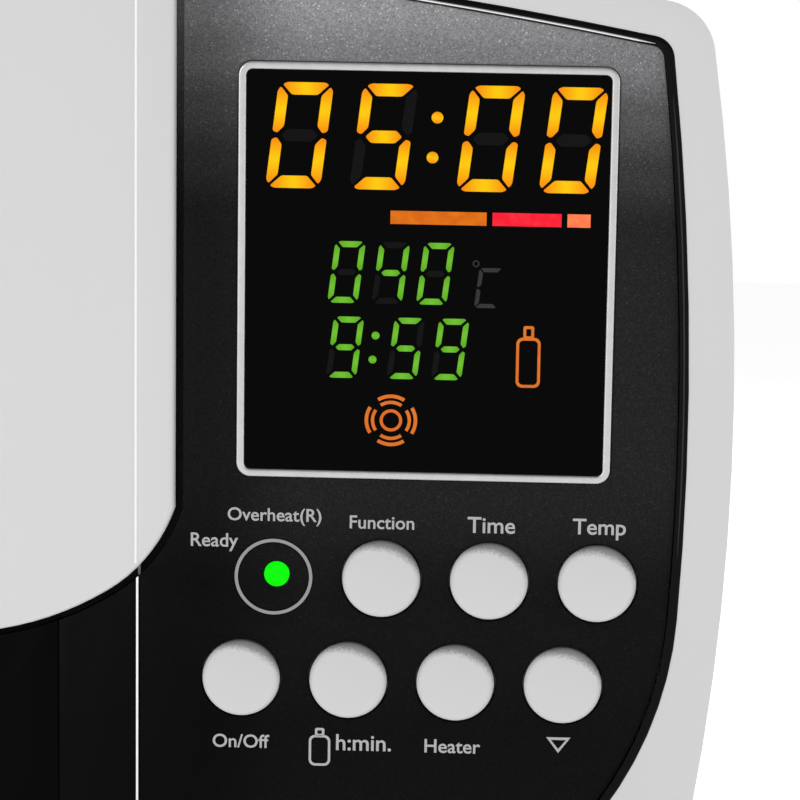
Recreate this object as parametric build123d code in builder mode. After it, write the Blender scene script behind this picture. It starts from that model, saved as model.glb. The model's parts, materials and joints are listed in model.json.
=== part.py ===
"""Countertop sous vide water bath with a built-in circulating impeller.

A white casing with bowed sides and an arched top holds a stainless tank. The front leans
forward and folds back at two creases: a white shield covers the middle, and the right-hand
side carries the display and the keys.

Frame: +Z up, front towards -Y, +X to the right seen from the front, origin on the table under
the middle of the whole appliance. Millimetres.
"""

from build123d import *
from math import cos, radians, sin, sqrt, tan
import os

os.makedirs("parts", exist_ok=True)

# ---------------------------------------------------------------- driving dimensions
HALF_WIDTH = 200.0  # casing half width at its widest
BACK_HALF_WIDTH = 180.0
DEPTH = 300.0  # front middle to back wall
WALL = 3.0
FRONT_WALL = 4.2
FOOT_HEIGHT = 13.0
LEAN = radians(8)  # the front leans forward
FOLD = radians(5)  # each console turns back from the middle
CREASE_X = 92.0
SHIELD_PROUD = 1.2
UNDERCUT = 2.0  # how far the untrimmed outline runs below the flat underside
VALVE_OUT = 42.0  # how far the drain valve stands behind the back wall

# casing outline, seen square to the front, from the display's centre
CASE_TOP, CASE_BOTTOM, CASE_WIDEST = 69.2, -138.0, -27.5
CASE_SIDE_R, CASE_ARCH_R = 455.0, 988.0
CASE_CORNERS, BACK_CORNERS = (9.5, 30.0), (24.0, 30.0)  # top, bottom
BACK_ROUND, INNER_ROUND = 8.0, 4.0

# dark fascia inside the white frame, same view
FASCIA_HALF, FASCIA_TOP, FASCIA_BOTTOM, FASCIA_WIDEST = 191.8, 61.2, -131.0, -30.0
FASCIA_SIDE_R, FASCIA_ARCH_R = 560.0, 980.0
FASCIA_CORNERS = (4.2, 72.0)
GASKET_WIDTH, GASKET_FIT = 1.7, 0.05
GASKET_PROUD = 0.25
FASCIA_GAP = 0.12
FASCIA_SUNK = 0.4

# white shield over the middle
SHIELD_HALF = 98.9
SHIELD_ARCS = ((320.0, 12.0), (60.0, 33.0), (30.0, 72.0))  # radius, heading at the end in degrees
SHIELD_BOTTOM = -75.3
SHIELD_GAP, SHIELD_INSET = 1.3, 0.8
CREASE_STRIP, CREASE_PROUD, CREASE_JOINT = 0.4, -0.15, 0.3  # strip width, height, half the joint
INSERT_HALF = 77.0

# console, from the display's centre, along the folded and leaning surface
CREASE_TO_DISPLAY = 52.2
DISPLAY_W, DISPLAY_H, DISPLAY_CORNER, BEZEL_BAND = 68.2, 76.0, 2.6, 1.45
KEY_PITCH, KEY_DIA, KEY_HOLE = 19.78, 14.3, 15.0
KEY_ROWS = {"upper": (-27.1, -56.8), "lower": (-32.95, -76.2)}
KEY_PROUD = 1.5
KEYS = {
    "key_function": ("upper", 1),
    "key_time": ("upper", 2),
    "key_temp": ("upper", 3),
    "key_on_off": ("lower", 0),
    "key_bottle_time": ("lower", 1),
    "key_heater": ("lower", 2),
    "key_down": ("lower", 3),
}
BOARD_DEPTH = 16.0

# tank
TANK_W, TANK_D, TANK_CORNER, TANK_SHEET = 300.0, 200.0, 30.0, 1.2
TANK_FLOOR, TANK_RIM = 62.0, 187.0
TANK_FLANGE, TANK_BEND = 12.0, 8.2
SEAL_THICK = 2.0
WELL_X, WELL_DIA, WELL_DEPTH = 80.0, 68.0, 13.0
DRAIN_X, DRAIN_Y_OFF = -105.0, 45.0

# lid
LID_W, LID_D, LID_CORNER, LID_HEIGHT = 336.0, 236.0, 46.0, 30.0
LID_WALL, LID_GAP, LID_TAPER = 3.0, 0.6, 8.0
HINGE_X, HINGE_RISE, HINGE_BACK, HINGE_PIN_R = 100.0, 12.0, 9.0, 2.0

# ---------------------------------------------------------------- places worked out from them
Y_FRONT = -(DEPTH + VALVE_OUT - SHIELD_PROUD) / 2 + CASE_TOP * sin(LEAN) / 2
Y_BACK = Y_FRONT + DEPTH
PANEL_Z = FOOT_HEIGHT - CASE_BOTTOM * cos(LEAN)
DECK_Z = PANEL_Z + CASE_TOP * cos(LEAN)
TANK_Y = Y_FRONT + 52 + TANK_D / 2
HINGE_Y = TANK_Y + LID_D / 2 + HINGE_BACK
TAPER = (HALF_WIDTH - BACK_HALF_WIDTH) / DEPTH


def deck_height(x):
    """Height of the arched deck at a distance from the middle."""
    return DECK_Z - CASE_ARCH_R + sqrt(CASE_ARCH_R**2 - x**2)


HINGE_Z = deck_height(HINGE_X) + HINGE_RISE

OUTWARD = Vector(0, -cos(LEAN), -sin(LEAN))
INWARD = OUTWARD * -1
ACROSS = Vector(1, 0, 0)
FRONT = Plane(origin=(0, Y_FRONT, PANEL_Z), x_dir=ACROSS, z_dir=OUTWARD)
PLAN = Plane(origin=FRONT.origin, x_dir=ACROSS, z_dir=FRONT.y_dir)  # local y runs into the appliance
BACK = Plane(origin=(0, Y_BACK, PANEL_Z), x_dir=ACROSS, z_dir=(0, -1, 0))
CONSOLE_ACROSS = ACROSS * cos(FOLD) + INWARD * sin(FOLD)
CONSOLE = Plane(
    origin=FRONT.origin + ACROSS * CREASE_X + CONSOLE_ACROSS * CREASE_TO_DISPLAY,
    x_dir=CONSOLE_ACROSS,
    z_dir=OUTWARD * cos(FOLD) + ACROSS * sin(FOLD),
)


def key_place(row, column):
    """Centre of a key on the console."""
    u, v = KEY_ROWS[row]
    return (u + KEY_PITCH * column, v)


def save(builder, name):
    """Labels a finished piece and writes its STEP."""
    builder.part.label = name
    export_step(builder.part, f"parts/{name}.step")


# ---------------------------------------------------------------- shared shapes
ROUNDS_TO_MEET = 30  # steps that find where the side arc meets the top arc
THROUGH = 60.0  # cuts that go right through a wall reach this far
LOOSE = 1.0  # cuts start and end this far outside what they cut


def bowed_outline(plane, half, top, bottom, widest, side_r, arch_r, corners, inset=0.0):
    """Outline with an arched top, bowed sides and a flat bottom, drawn inset by a parallel distance."""
    half, top, bottom = half - inset, top - inset, bottom + inset
    side_r, arch_r = side_r - inset, arch_r - inset

    def side(v):
        return half - side_r + sqrt(side_r**2 - (v - widest) ** 2)

    def arch(x):
        return top - arch_r + sqrt(arch_r**2 - x**2)

    corner_x = half
    for _ in range(ROUNDS_TO_MEET):
        corner_x = side(arch(corner_x))
    corner_v, foot_x = arch(corner_x), side(bottom)
    with BuildSketch(plane) as outline:
        with BuildLine():
            Line((-foot_x, bottom), (foot_x, bottom))
            ThreePointArc((foot_x, bottom), (half, widest), (corner_x, corner_v))
            ThreePointArc((corner_x, corner_v), (0, top), (-corner_x, corner_v))
            ThreePointArc((-corner_x, corner_v), (-half, widest), (-foot_x, bottom))
        make_face()
        fillet(outline.vertices().sort_by(Axis.Y)[-2:], corners[0] - inset)
        fillet(outline.vertices().sort_by(Axis.Y)[:2], corners[1] - inset)
    return outline.sketch


def case_outline(inset=0.0):
    """Casing outline just in front of the middle of the front."""
    reach = (HALF_WIDTH - CREASE_X) * tan(FOLD) + 2
    half = HALF_WIDTH + TAPER * reach
    bottom = CASE_BOTTOM if inset else CASE_BOTTOM - UNDERCUT
    shape = (half, CASE_TOP, bottom, CASE_WIDEST, CASE_SIDE_R, CASE_ARCH_R, CASE_CORNERS)
    return bowed_outline(FRONT.offset(2), *shape, inset)


def back_outline(inset=0.0):
    """Casing outline at the back wall, drawn in from it by the inset."""
    top, bottom = CASE_TOP * cos(LEAN), CASE_BOTTOM * cos(LEAN)
    bottom -= 0 if inset else UNDERCUT
    shape = (BACK_HALF_WIDTH, top, bottom, CASE_WIDEST, CASE_SIDE_R, CASE_ARCH_R, BACK_CORNERS)
    return bowed_outline(BACK.offset(inset), *shape, inset)


def fascia_outline(inset=0.0):
    """The dark fascia's outline, from the white frame's inner edge."""
    shape = (FASCIA_HALF, FASCIA_TOP, FASCIA_BOTTOM, FASCIA_WIDEST, FASCIA_SIDE_R, FASCIA_ARCH_R)
    return bowed_outline(FRONT, *shape, FASCIA_CORNERS, inset)


def case_block(inset, rounding):
    """Solid casing shape, with its back edges rounded."""
    with BuildPart() as block:
        loft([case_outline(inset).face(), back_outline(inset).face()], ruled=True)
        fillet(block.faces().sort_by(Axis.Y)[-1].edges(), rounding)
    return block.part


def fold_points(depth):
    """The folded front seen from above, at a depth behind its surface."""
    edge = HALF_WIDTH + 30
    edge_depth = (edge - CREASE_X) * tan(FOLD) + depth / cos(FOLD)
    crease = CREASE_X - depth * tan(FOLD / 2)
    return [(-edge, edge_depth), (-crease, depth), (crease, depth), (edge, edge_depth)]


def fold_slab(proud, depth):
    """Everything from a distance proud of the folded front to a depth behind it."""
    with BuildPart() as slab:
        with BuildSketch(PLAN):
            with BuildLine():
                Polyline(*fold_points(-proud), *reversed(fold_points(depth)), close=True)
            make_face()
        extrude(amount=CASE_TOP - CASE_BOTTOM, both=True)
    return slab.part


def shield_outline(grow=0.0, half=SHIELD_HALF):
    """Outline of the white shield: straight sides and a bottom of three tangent arcs, mirrored."""
    points, heading, at = [], 0.0, (0.0, SHIELD_BOTTOM)
    for radius, end in SHIELD_ARCS:
        centre = (at[0] - radius * sin(heading), at[1] + radius * cos(heading))
        stops = [(heading + radians(end)) / 2, radians(end)]
        middle, last = [(centre[0] + radius * sin(h), centre[1] - radius * cos(h)) for h in stops]
        points.append((at, middle, last))
        heading, at = radians(end), last
    with BuildSketch(FRONT) as outline:
        with BuildLine() as edge:
            for arc in points:
                ThreePointArc(*arc)
            Line(at, (half, at[1] + 1))
            Line((half, at[1] + 1), (half, CASE_TOP + 20))
            Line((half, CASE_TOP + 20), (0, CASE_TOP + 20))
            mirror(about=Plane.YZ)
        make_face()
        if grow:
            offset(amount=grow, kind=Kind.INTERSECTION, mode=Mode.REPLACE)
    return outline.sketch


def front_band(x_low, x_high):
    """Vertical strip of the front between two distances from the middle."""
    with BuildSketch(FRONT) as band:
        with Locations(((x_low + x_high) / 2, 0)):
            Rectangle(x_high - x_low, 3 * CASE_TOP - CASE_BOTTOM)
    return band.sketch


def arch_slab(low, high):
    """Everything between two parallels of the arched deck, by their height above it in the middle."""
    half, reach = HALF_WIDTH, DEPTH
    low_r, high_r = CASE_ARCH_R + low, CASE_ARCH_R + high
    centre = DECK_Z - CASE_ARCH_R
    low_end, high_end = (centre + sqrt(r**2 - half**2) for r in (low_r, high_r))
    with BuildPart() as slab:
        with BuildSketch(Plane.XZ):
            with BuildLine():
                ThreePointArc((-half, low_end), (0, centre + low_r), (half, low_end))
                Line((half, low_end), (half, high_end))
                ThreePointArc((half, high_end), (0, centre + high_r), (-half, high_end))
                Line((-half, high_end), (-half, low_end))
            make_face()
        extrude(amount=reach, both=True)
    return slab.part


def rounded_block(width, depth, corner, low, high, centre_y, taper=0.0):
    """Upright block with rounded corners between two heights."""
    with BuildPart() as block:
        with BuildSketch(Plane.XY.offset(low)):
            with Locations((0, centre_y)):
                RectangleRounded(width, depth, corner)
        extrude(amount=high - low, taper=taper)
    return block.part


def prism(outline):
    """A front view outline drawn out both ways, right through the front."""
    with BuildPart() as block:
        extrude(to_extrude=outline, amount=THROUGH, both=True)
    return block.part


def front_slice(outline, proud, depth):
    """The part of a front view outline that lies between two parallels of the folded front."""
    with BuildPart() as slice_block:
        add(prism(outline))
        add(fold_slab(proud, depth), mode=Mode.INTERSECT)
    return slice_block.part


def console_block(places, width, height, corner, near, far):
    """Rounded rectangles square to the console between two depths."""
    with BuildPart() as block:
        with BuildSketch(CONSOLE.offset(-far)):
            with Locations(*places):
                RectangleRounded(width, height, corner)
        extrude(amount=far - near)
    return block.part


def console_discs(places, radius, near, far):
    """Discs square to the console between two depths."""
    with BuildPart() as discs:
        with BuildSketch(CONSOLE.offset(-far)):
            with Locations(*places):
                Circle(radius)
        extrude(amount=far - near)
    return discs.part


# ---------------------------------------------------------------- depths and common places
FASCIA_BACK = 2.6  # fascias lie in a pocket this deep
REBATE = 1.6  # the shield's seat
KEY_PLACES = [key_place(*where) for where in KEYS.values()]
LED_PLACE = key_place("upper", 0)
LED_SPOT = (LED_PLACE[0] + 0.6, LED_PLACE[1] + 0.5)
LED_RING_R, LED_RING_BAND, LED_R, LED_ROOM = 7.15, 0.6, 2.3, 0.15
BOARD_SIZE, BOARD_PLACE, BOARD_THICK = (92.0, 122.0), (-2.0, -24.0), 1.6
CORNERS = [(-1, -1), (-1, 1), (1, -1), (1, 1)]
STANDOFFS = [(BOARD_PLACE[0] + sx * 42.5, BOARD_PLACE[1] + sy * 57.5) for sx, sy in CORNERS]
BOARD_BACK = BOARD_DEPTH + BOARD_THICK
BASE_Z = FOOT_HEIGHT + WALL
BASE_THICK = 2.0
FLOOR_TOP = BASE_Z + BASE_THICK
FAN_X, FAN_Z, FAN_SIZE, FAN_THICK = 118.0, 62.0, 60.0, 15.0
INLET_X, INLET_Z = 0.0, 48.0
VALVE_X, VALVE_Z = DRAIN_X, 42.0
FEET = {
    "foot_front_left": (-134.0, Y_FRONT + 39),
    "foot_front_right": (134.0, Y_FRONT + 39),
    "foot_back_left": (-122.0, Y_BACK - 30),
    "foot_back_right": (122.0, Y_BACK - 30),
}
BASE_OPENING, BASE_PLATE = (250.0, 190.0, 12.0), (270.0, 206.0, 14.0)
BASE_Y = Y_FRONT + 150
SCREW_R, SCREW_HEAD_R, SCREW_HEAD, SCREW_ROOM = 1.75, 3.2, 1.8, 0.1
BASE_SCREWS = [(sx * 130.5, BASE_Y - 2 + sy * 66) for sx, sy in CORNERS]


# ---------------------------------------------------------------- casing
def skirt(low, outside):
    """Block as wide as the tank and a wall round it, from a height up through the deck."""
    width, depth = TANK_W + 2 * outside, TANK_D + 2 * outside
    return rounded_block(width, depth, TANK_CORNER + outside, low, DECK_Z + 5, TANK_Y)


SKIRT_LOW = TANK_RIM + SEAL_THICK


def case_hollow():
    """Room inside the casing, all round the wall of the tank's opening."""
    with BuildPart() as hollow:
        add(case_block(WALL, INNER_ROUND))
        add(fold_slab(THROUGH, FRONT_WALL), mode=Mode.SUBTRACT)
        add(skirt(SKIRT_LOW, WALL), mode=Mode.SUBTRACT)
    return hollow.part


WINDOW_CUT, MODULE_SIZE = (60.0, 68.0, 2.0), (59.6, 67.6, 1.8)
CUT_DEPTH = FRONT_WALL + 3
FAN_OPENING_R = 27.5
INLET_OPENING = (28.0, 20.5, 2.5)
VALVE_OPENING_R = 8.0
INLET_SCREWS = [(INLET_X - 20, INLET_Z), (INLET_X + 20, INLET_Z)]
with BuildPart() as casing:
    add(case_block(0, BACK_ROUND))
    add(case_hollow(), mode=Mode.SUBTRACT)
    add(skirt(SKIRT_LOW - 20, 0), mode=Mode.SUBTRACT)
    add(fold_slab(THROUGH, 0), mode=Mode.SUBTRACT)
    # pocket for the fascias, and the shield's seat
    add(front_slice(fascia_outline(), 1, FASCIA_BACK), mode=Mode.SUBTRACT)
    add(front_slice(shield_outline(SHIELD_GAP), 1, REBATE), mode=Mode.SUBTRACT)
    # window for the display module, key holes and the indicator's hole
    add(console_block([(0, 0)], *WINDOW_CUT, -LOOSE, CUT_DEPTH), mode=Mode.SUBTRACT)
    add(console_discs(KEY_PLACES, KEY_HOLE / 2, -LOOSE, CUT_DEPTH), mode=Mode.SUBTRACT)
    add(console_discs([LED_SPOT], LED_R + LED_ROOM, -LOOSE, CUT_DEPTH), mode=Mode.SUBTRACT)
    # flat underside, bottom opening, drain, mains inlet and fan openings
    with BuildSketch(Plane.XY):
        Rectangle(2 * HALF_WIDTH, 2 * DEPTH)
    extrude(amount=FOOT_HEIGHT, mode=Mode.SUBTRACT)
    with BuildSketch(Plane.XY.offset(FOOT_HEIGHT - 2)):
        with Locations((0, BASE_Y)):
            RectangleRounded(*BASE_OPENING)
    extrude(amount=WALL + 3, mode=Mode.SUBTRACT)
    with BuildSketch(Plane.XZ.offset(-Y_BACK - 1)):
        with Locations((VALVE_X, VALVE_Z)):
            Circle(VALVE_OPENING_R)
        with Locations((FAN_X, FAN_Z)):
            Circle(FAN_OPENING_R)
        with Locations((INLET_X, INLET_Z)):
            RectangleRounded(*INLET_OPENING)
        with Locations(*INLET_SCREWS):
            Circle(SCREW_R + SCREW_ROOM)
    extrude(amount=WALL + 3, mode=Mode.SUBTRACT)
save(casing, "casing")

# ---------------------------------------------------------------- front
with BuildPart() as fascia_gasket:
    add(front_slice(fascia_outline(GASKET_FIT), GASKET_PROUD, FASCIA_BACK))
    add(prism(fascia_outline(GASKET_WIDTH)), mode=Mode.SUBTRACT)
    add(prism(shield_outline(SHIELD_GAP)), mode=Mode.SUBTRACT)
save(fascia_gasket, "fascia_gasket")


def fascia_plate(x_low, x_high):
    """Fascia plate between two distances from the middle, with the shield's seat."""
    with BuildPart() as plate:
        add(front_slice(fascia_outline(GASKET_WIDTH + FASCIA_GAP), -FASCIA_SUNK, FASCIA_BACK))
        add(prism(front_band(x_low, x_high)), mode=Mode.INTERSECT)
        add(front_slice(shield_outline(SHIELD_GAP), 1, REBATE), mode=Mode.SUBTRACT)
    return plate.part


GROOVE_DEPTH, RING_ROOM = 1.0, 0.02
BEZEL_OPENING = (DISPLAY_W + 0.1, DISPLAY_H + 0.1, DISPLAY_CORNER + 0.05)
with BuildPart() as control_fascia:
    add(fascia_plate(CREASE_X + CREASE_JOINT, HALF_WIDTH))
    add(console_block([(0, 0)], *BEZEL_OPENING, -LOOSE, CUT_DEPTH), mode=Mode.SUBTRACT)
    add(console_discs(KEY_PLACES, KEY_HOLE / 2, -LOOSE, CUT_DEPTH), mode=Mode.SUBTRACT)
    add(console_discs([LED_SPOT], LED_R + LED_ROOM / 3, -LOOSE, CUT_DEPTH), mode=Mode.SUBTRACT)
    with BuildSketch(CONSOLE.offset(-GROOVE_DEPTH)):
        with Locations(LED_PLACE):
            Circle(LED_RING_R + RING_ROOM)
            Circle(LED_RING_R - LED_RING_BAND - RING_ROOM, mode=Mode.SUBTRACT)
    extrude(amount=2 * GROOVE_DEPTH, mode=Mode.SUBTRACT)
save(control_fascia, "control_fascia")

with BuildPart() as left_fascia:
    add(fascia_plate(-HALF_WIDTH, -CREASE_X - CREASE_JOINT))
save(left_fascia, "left_fascia")

INSERT_TOP = SHIELD_BOTTOM + 14  # the insert runs up under the shield
INSERT_BOTTOM = FASCIA_BOTTOM + 12
INSERT_HIGH = INSERT_TOP - INSERT_BOTTOM
INSERT_PLACE = (0, (INSERT_TOP + INSERT_BOTTOM) / 2)
with BuildPart() as center_fascia:
    add(fascia_plate(-CREASE_X + CREASE_JOINT, CREASE_X - CREASE_JOINT))
    with BuildSketch(FRONT.offset(-FASCIA_BACK - 1)):
        with Locations(INSERT_PLACE):
            RectangleRounded(2 * INSERT_HALF + 0.2, INSERT_HIGH + 0.2, 3.0)
    extrude(amount=FASCIA_BACK + 3, mode=Mode.SUBTRACT)
save(center_fascia, "center_fascia")

def crease_strips():
    """Narrow upright strips through the front, one at each crease."""
    with BuildPart() as strips:
        for crease in (-CREASE_X, CREASE_X):
            add(prism(front_band(crease - CREASE_STRIP / 2, crease + CREASE_STRIP / 2)))
    return strips.part


# bright strips in the joints between the centre fascia and the side ones
with BuildPart() as crease_trims:
    add(front_slice(fascia_outline(GASKET_WIDTH + FASCIA_GAP), CREASE_PROUD, FASCIA_BACK))
    add(crease_strips(), mode=Mode.INTERSECT)
    add(prism(shield_outline(SHIELD_GAP)), mode=Mode.SUBTRACT)
save(crease_trims, "crease_trims")

SLOT_ROWS = [INSERT_BOTTOM + 13.0 + 6.5 * row for row in range(4)]
INSERT_SLOTS = [(x, v) for v in SLOT_ROWS for x in (-50, -17, 17, 50)]
with BuildPart() as front_grille:
    with BuildSketch(FRONT.offset(-FASCIA_BACK)):
        with Locations(INSERT_PLACE):
            RectangleRounded(2 * INSERT_HALF, INSERT_HIGH, 2.9)
        with Locations(*INSERT_SLOTS):
            SlotOverall(26, 2.4, mode=Mode.SUBTRACT)
    extrude(amount=FASCIA_BACK - FASCIA_SUNK + 0.1)
    add(front_slice(shield_outline(SHIELD_GAP), 1, REBATE), mode=Mode.SUBTRACT)
save(front_grille, "front_grille")

with BuildPart() as front_shield:
    add(front_slice(shield_outline(), SHIELD_PROUD, REBATE))
    add(prism(case_outline(SHIELD_INSET)), mode=Mode.INTERSECT)
save(front_shield, "front_shield")

# ---------------------------------------------------------------- display and keys
LENS_W, LENS_H = DISPLAY_W - 2 * BEZEL_BAND, DISPLAY_H - 2 * BEZEL_BAND
LENS_CORNER = DISPLAY_CORNER - BEZEL_BAND
LENS_OPENING, LENS_SIZE = (LENS_W, LENS_H, LENS_CORNER), (LENS_W - 0.1, LENS_H - 0.1, LENS_CORNER)
LENS_SUNK = 0.5
with BuildPart() as display_bezel:
    add(console_block([(0, 0)], DISPLAY_W, DISPLAY_H, DISPLAY_CORNER, 0.0, FASCIA_BACK))
    add(console_block([(0, 0)], *LENS_OPENING, -LOOSE, CUT_DEPTH), mode=Mode.SUBTRACT)
save(display_bezel, "display_bezel")

with BuildPart() as display_lens:
    add(console_block([(0, 0)], *LENS_SIZE, LENS_SUNK, FASCIA_BACK))
save(display_lens, "display_lens")

with BuildPart() as display_module:
    add(console_block([(0, 0)], *MODULE_SIZE, FASCIA_BACK, BOARD_DEPTH))
save(display_module, "display_module")

CAP_BACK, FLANGE_BACK, STEM_BACK, SWITCH_NEAR = 4.9, 6.2, 9.6, 10.6
for name, (row, column) in KEYS.items():
    place = key_place(row, column)
    with BuildPart() as cap:
        add(console_discs([place], KEY_DIA / 2, FASCIA_SUNK - KEY_PROUD, CAP_BACK))
        rims = cap.edges().filter_by(GeomType.CIRCLE)
        fillet(rims.group_by(Axis(CONSOLE.origin, CONSOLE.z_dir))[-1], 0.7)
        add(console_discs([place], KEY_DIA / 2 + 1.4, CAP_BACK, FLANGE_BACK))
        add(console_discs([place], 2.0, FLANGE_BACK, STEM_BACK))
    save(cap, name)

with BuildPart() as status_led_ring:
    with BuildSketch(CONSOLE.offset(-GROOVE_DEPTH + RING_ROOM)):
        with Locations(LED_PLACE):
            Circle(LED_RING_R)
            Circle(LED_RING_R - LED_RING_BAND, mode=Mode.SUBTRACT)
    extrude(amount=GROOVE_DEPTH - RING_ROOM - 0.3)
save(status_led_ring, "status_led_ring")

with BuildPart() as status_led:
    add(console_discs([LED_SPOT], LED_R, 0.25, BOARD_DEPTH))
save(status_led, "status_led")

with BuildPart() as control_board:
    add(console_block([BOARD_PLACE], *BOARD_SIZE, 2.0, BOARD_DEPTH, BOARD_BACK))
    add(console_discs(STANDOFFS, 1.6, BOARD_DEPTH - 1, BOARD_DEPTH + 3), mode=Mode.SUBTRACT)
save(control_board, "control_board")

with BuildPart() as tact_switches:
    add(console_block(KEY_PLACES, 7.5, 7.5, 0.5, SWITCH_NEAR + 1.8, BOARD_DEPTH))
    add(console_discs(KEY_PLACES, 1.8, SWITCH_NEAR, SWITCH_NEAR + 1.8))
save(tact_switches, "tact_switches")

# ---------------------------------------------------------------- tank, seal and what hangs below it
WELL = (WELL_X, TANK_Y)
DRAIN = (DRAIN_X, TANK_Y + DRAIN_Y_OFF)
MOTOR_SHAFT_R, DRAIN_R = 2.5, 6.0
def bath():
    """Room for the water, rounded at the bottom."""
    width, depth = TANK_W - 2 * TANK_SHEET, TANK_D - 2 * TANK_SHEET
    corner = TANK_CORNER - TANK_SHEET
    with BuildPart() as water:
        add(rounded_block(width, depth, corner, TANK_FLOOR, TANK_RIM + LOOSE, TANK_Y))
        fillet(water.faces().sort_by(Axis.Z)[0].edges(), TANK_BEND - TANK_SHEET)
    return water.part


FLANGE_W, FLANGE_D = TANK_W + 2 * TANK_FLANGE, TANK_D + 2 * TANK_FLANGE
FLANGE_CORNER = TANK_CORNER + TANK_FLANGE
PROBE_AT, PROBE_R = (TANK_Y - 40, 100.0), 3.0
with BuildPart() as tank:
    add(rounded_block(TANK_W, TANK_D, TANK_CORNER, TANK_FLOOR - TANK_SHEET, TANK_RIM, TANK_Y))
    fillet(tank.faces().sort_by(Axis.Z)[0].edges(), TANK_BEND)
    add(rounded_block(FLANGE_W, FLANGE_D, FLANGE_CORNER, TANK_RIM - TANK_SHEET, TANK_RIM, TANK_Y))
    add(bath(), mode=Mode.SUBTRACT)
    with BuildSketch(Plane.XY.offset(TANK_FLOOR - WELL_DEPTH - TANK_SHEET)):
        with Locations(WELL):
            Circle(WELL_DIA / 2 + TANK_SHEET)
    extrude(amount=WELL_DEPTH + TANK_SHEET - 0.01)
    with BuildSketch(Plane.XY.offset(TANK_FLOOR - WELL_DEPTH)):
        with Locations(WELL):
            Circle(WELL_DIA / 2)
    extrude(amount=WELL_DEPTH + 1, mode=Mode.SUBTRACT)
    with BuildSketch(Plane.XY.offset(TANK_FLOOR - WELL_DEPTH - 5)):
        with Locations(WELL):
            Circle(6.0)
    extrude(amount=8, mode=Mode.SUBTRACT)
    with BuildSketch(Plane.XY.offset(TANK_FLOOR - 5)):
        with Locations(DRAIN):
            Circle(DRAIN_R - 1.2)
    extrude(amount=8, mode=Mode.SUBTRACT)
    with BuildSketch(Plane.YZ.offset(-TANK_W / 2 - 2)):
        with Locations(PROBE_AT):
            Circle(PROBE_R)
    extrude(amount=6, mode=Mode.SUBTRACT)
save(tank, "tank")

with BuildPart() as tank_gasket:
    add(rounded_block(TANK_W + 20, TANK_D + 20, TANK_CORNER + 10, TANK_RIM, SKIRT_LOW, TANK_Y))
    add(skirt(TANK_RIM - LOOSE, 0), mode=Mode.SUBTRACT)
save(tank_gasket, "tank_gasket")


def upright(places, radius, low, high, hole=0.0):
    """Upright discs or rings between two heights."""
    with BuildPart() as discs:
        with BuildSketch(Plane.XY.offset(low)):
            with Locations(*places):
                Circle(radius)
                if hole:
                    Circle(hole, mode=Mode.SUBTRACT)
        extrude(amount=high - low)
    return discs.part


WELL_FLOOR = TANK_FLOOR - WELL_DEPTH
MOTOR_TOP = WELL_FLOOR - TANK_SHEET - 2
SHAFT_HOLE_R = MOTOR_SHAFT_R + 0.05
with BuildPart() as shaft_seal:
    add(upright([WELL], 6.0, MOTOR_TOP, WELL_FLOOR, SHAFT_HOLE_R))
    add(upright([WELL], 9.0, MOTOR_TOP, WELL_FLOOR - TANK_SHEET, SHAFT_HOLE_R))
save(shaft_seal, "shaft_seal")

with BuildPart() as circulation_motor:
    add(upright([WELL], 18.0, MOTOR_TOP - 24, MOTOR_TOP))
    chamfer(circulation_motor.edges().filter_by(GeomType.CIRCLE), 1.2)
    add(upright([WELL], SHAFT_HOLE_R, MOTOR_TOP - 16, MOTOR_TOP + 1), mode=Mode.SUBTRACT)
save(circulation_motor, "circulation_motor")

IMPELLER_LOW = WELL_FLOOR + 1.5
with BuildPart() as impeller:
    add(upright([WELL], 5.5, IMPELLER_LOW, IMPELLER_LOW + 9))
    add(upright([WELL], 24.0, IMPELLER_LOW, IMPELLER_LOW + 1.6))
    add(upright([WELL], MOTOR_SHAFT_R, MOTOR_TOP - 14, IMPELLER_LOW + 1))
    with BuildSketch(Plane.XY.offset(IMPELLER_LOW + 1)):
        with Locations(WELL):
            with PolarLocations(0, 6):
                with Locations((14.0, 0)):
                    Rectangle(19.0, 1.6, rotation=18)
    extrude(amount=7)
save(impeller, "impeller")

GUARD_HOLES = [(0.0, 1), (9.0, 8), (18.0, 16), (27.0, 24)]
with BuildPart() as impeller_guard:
    add(upright([WELL], 40.0, TANK_FLOOR, TANK_FLOOR + 1.2))
    with BuildSketch(Plane.XY.offset(TANK_FLOOR - 1)):
        with Locations(WELL):
            for radius, count in GUARD_HOLES:
                with PolarLocations(radius, count):
                    Circle(2.4)
    extrude(amount=4, mode=Mode.SUBTRACT)
save(impeller_guard, "impeller_guard")

HEATER_SHIFTS = (-52.0, 44.0)
HEATER_UNDER = TANK_FLOOR - TANK_SHEET - 3.0
with BuildPart() as heater_pads:
    with BuildSketch(Plane.XY.offset(HEATER_UNDER)):
        with Locations(*((-25.0, TANK_Y + shift) for shift in HEATER_SHIFTS)):
            RectangleRounded(120, 62, 6)
    extrude(amount=3.0)
save(heater_pads, "heater_pads")

with BuildPart() as thermal_cutout:
    add(upright([(-25.0, TANK_Y - 4)], 8.0, TANK_FLOOR - TANK_SHEET - 7, TANK_FLOOR - TANK_SHEET))
save(thermal_cutout, "thermal_cutout")

with BuildPart() as temperature_probe:
    with BuildSketch(Plane.YZ.offset(-TANK_W / 2 - 12)):
        with Locations(PROBE_AT):
            Circle(PROBE_R)
    extrude(amount=24)
    with BuildSketch(Plane.YZ.offset(-TANK_W / 2 - 4)):
        with Locations(PROBE_AT):
            RegularPolygon(6.5, 6)
    extrude(amount=4)
save(temperature_probe, "temperature_probe")

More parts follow.
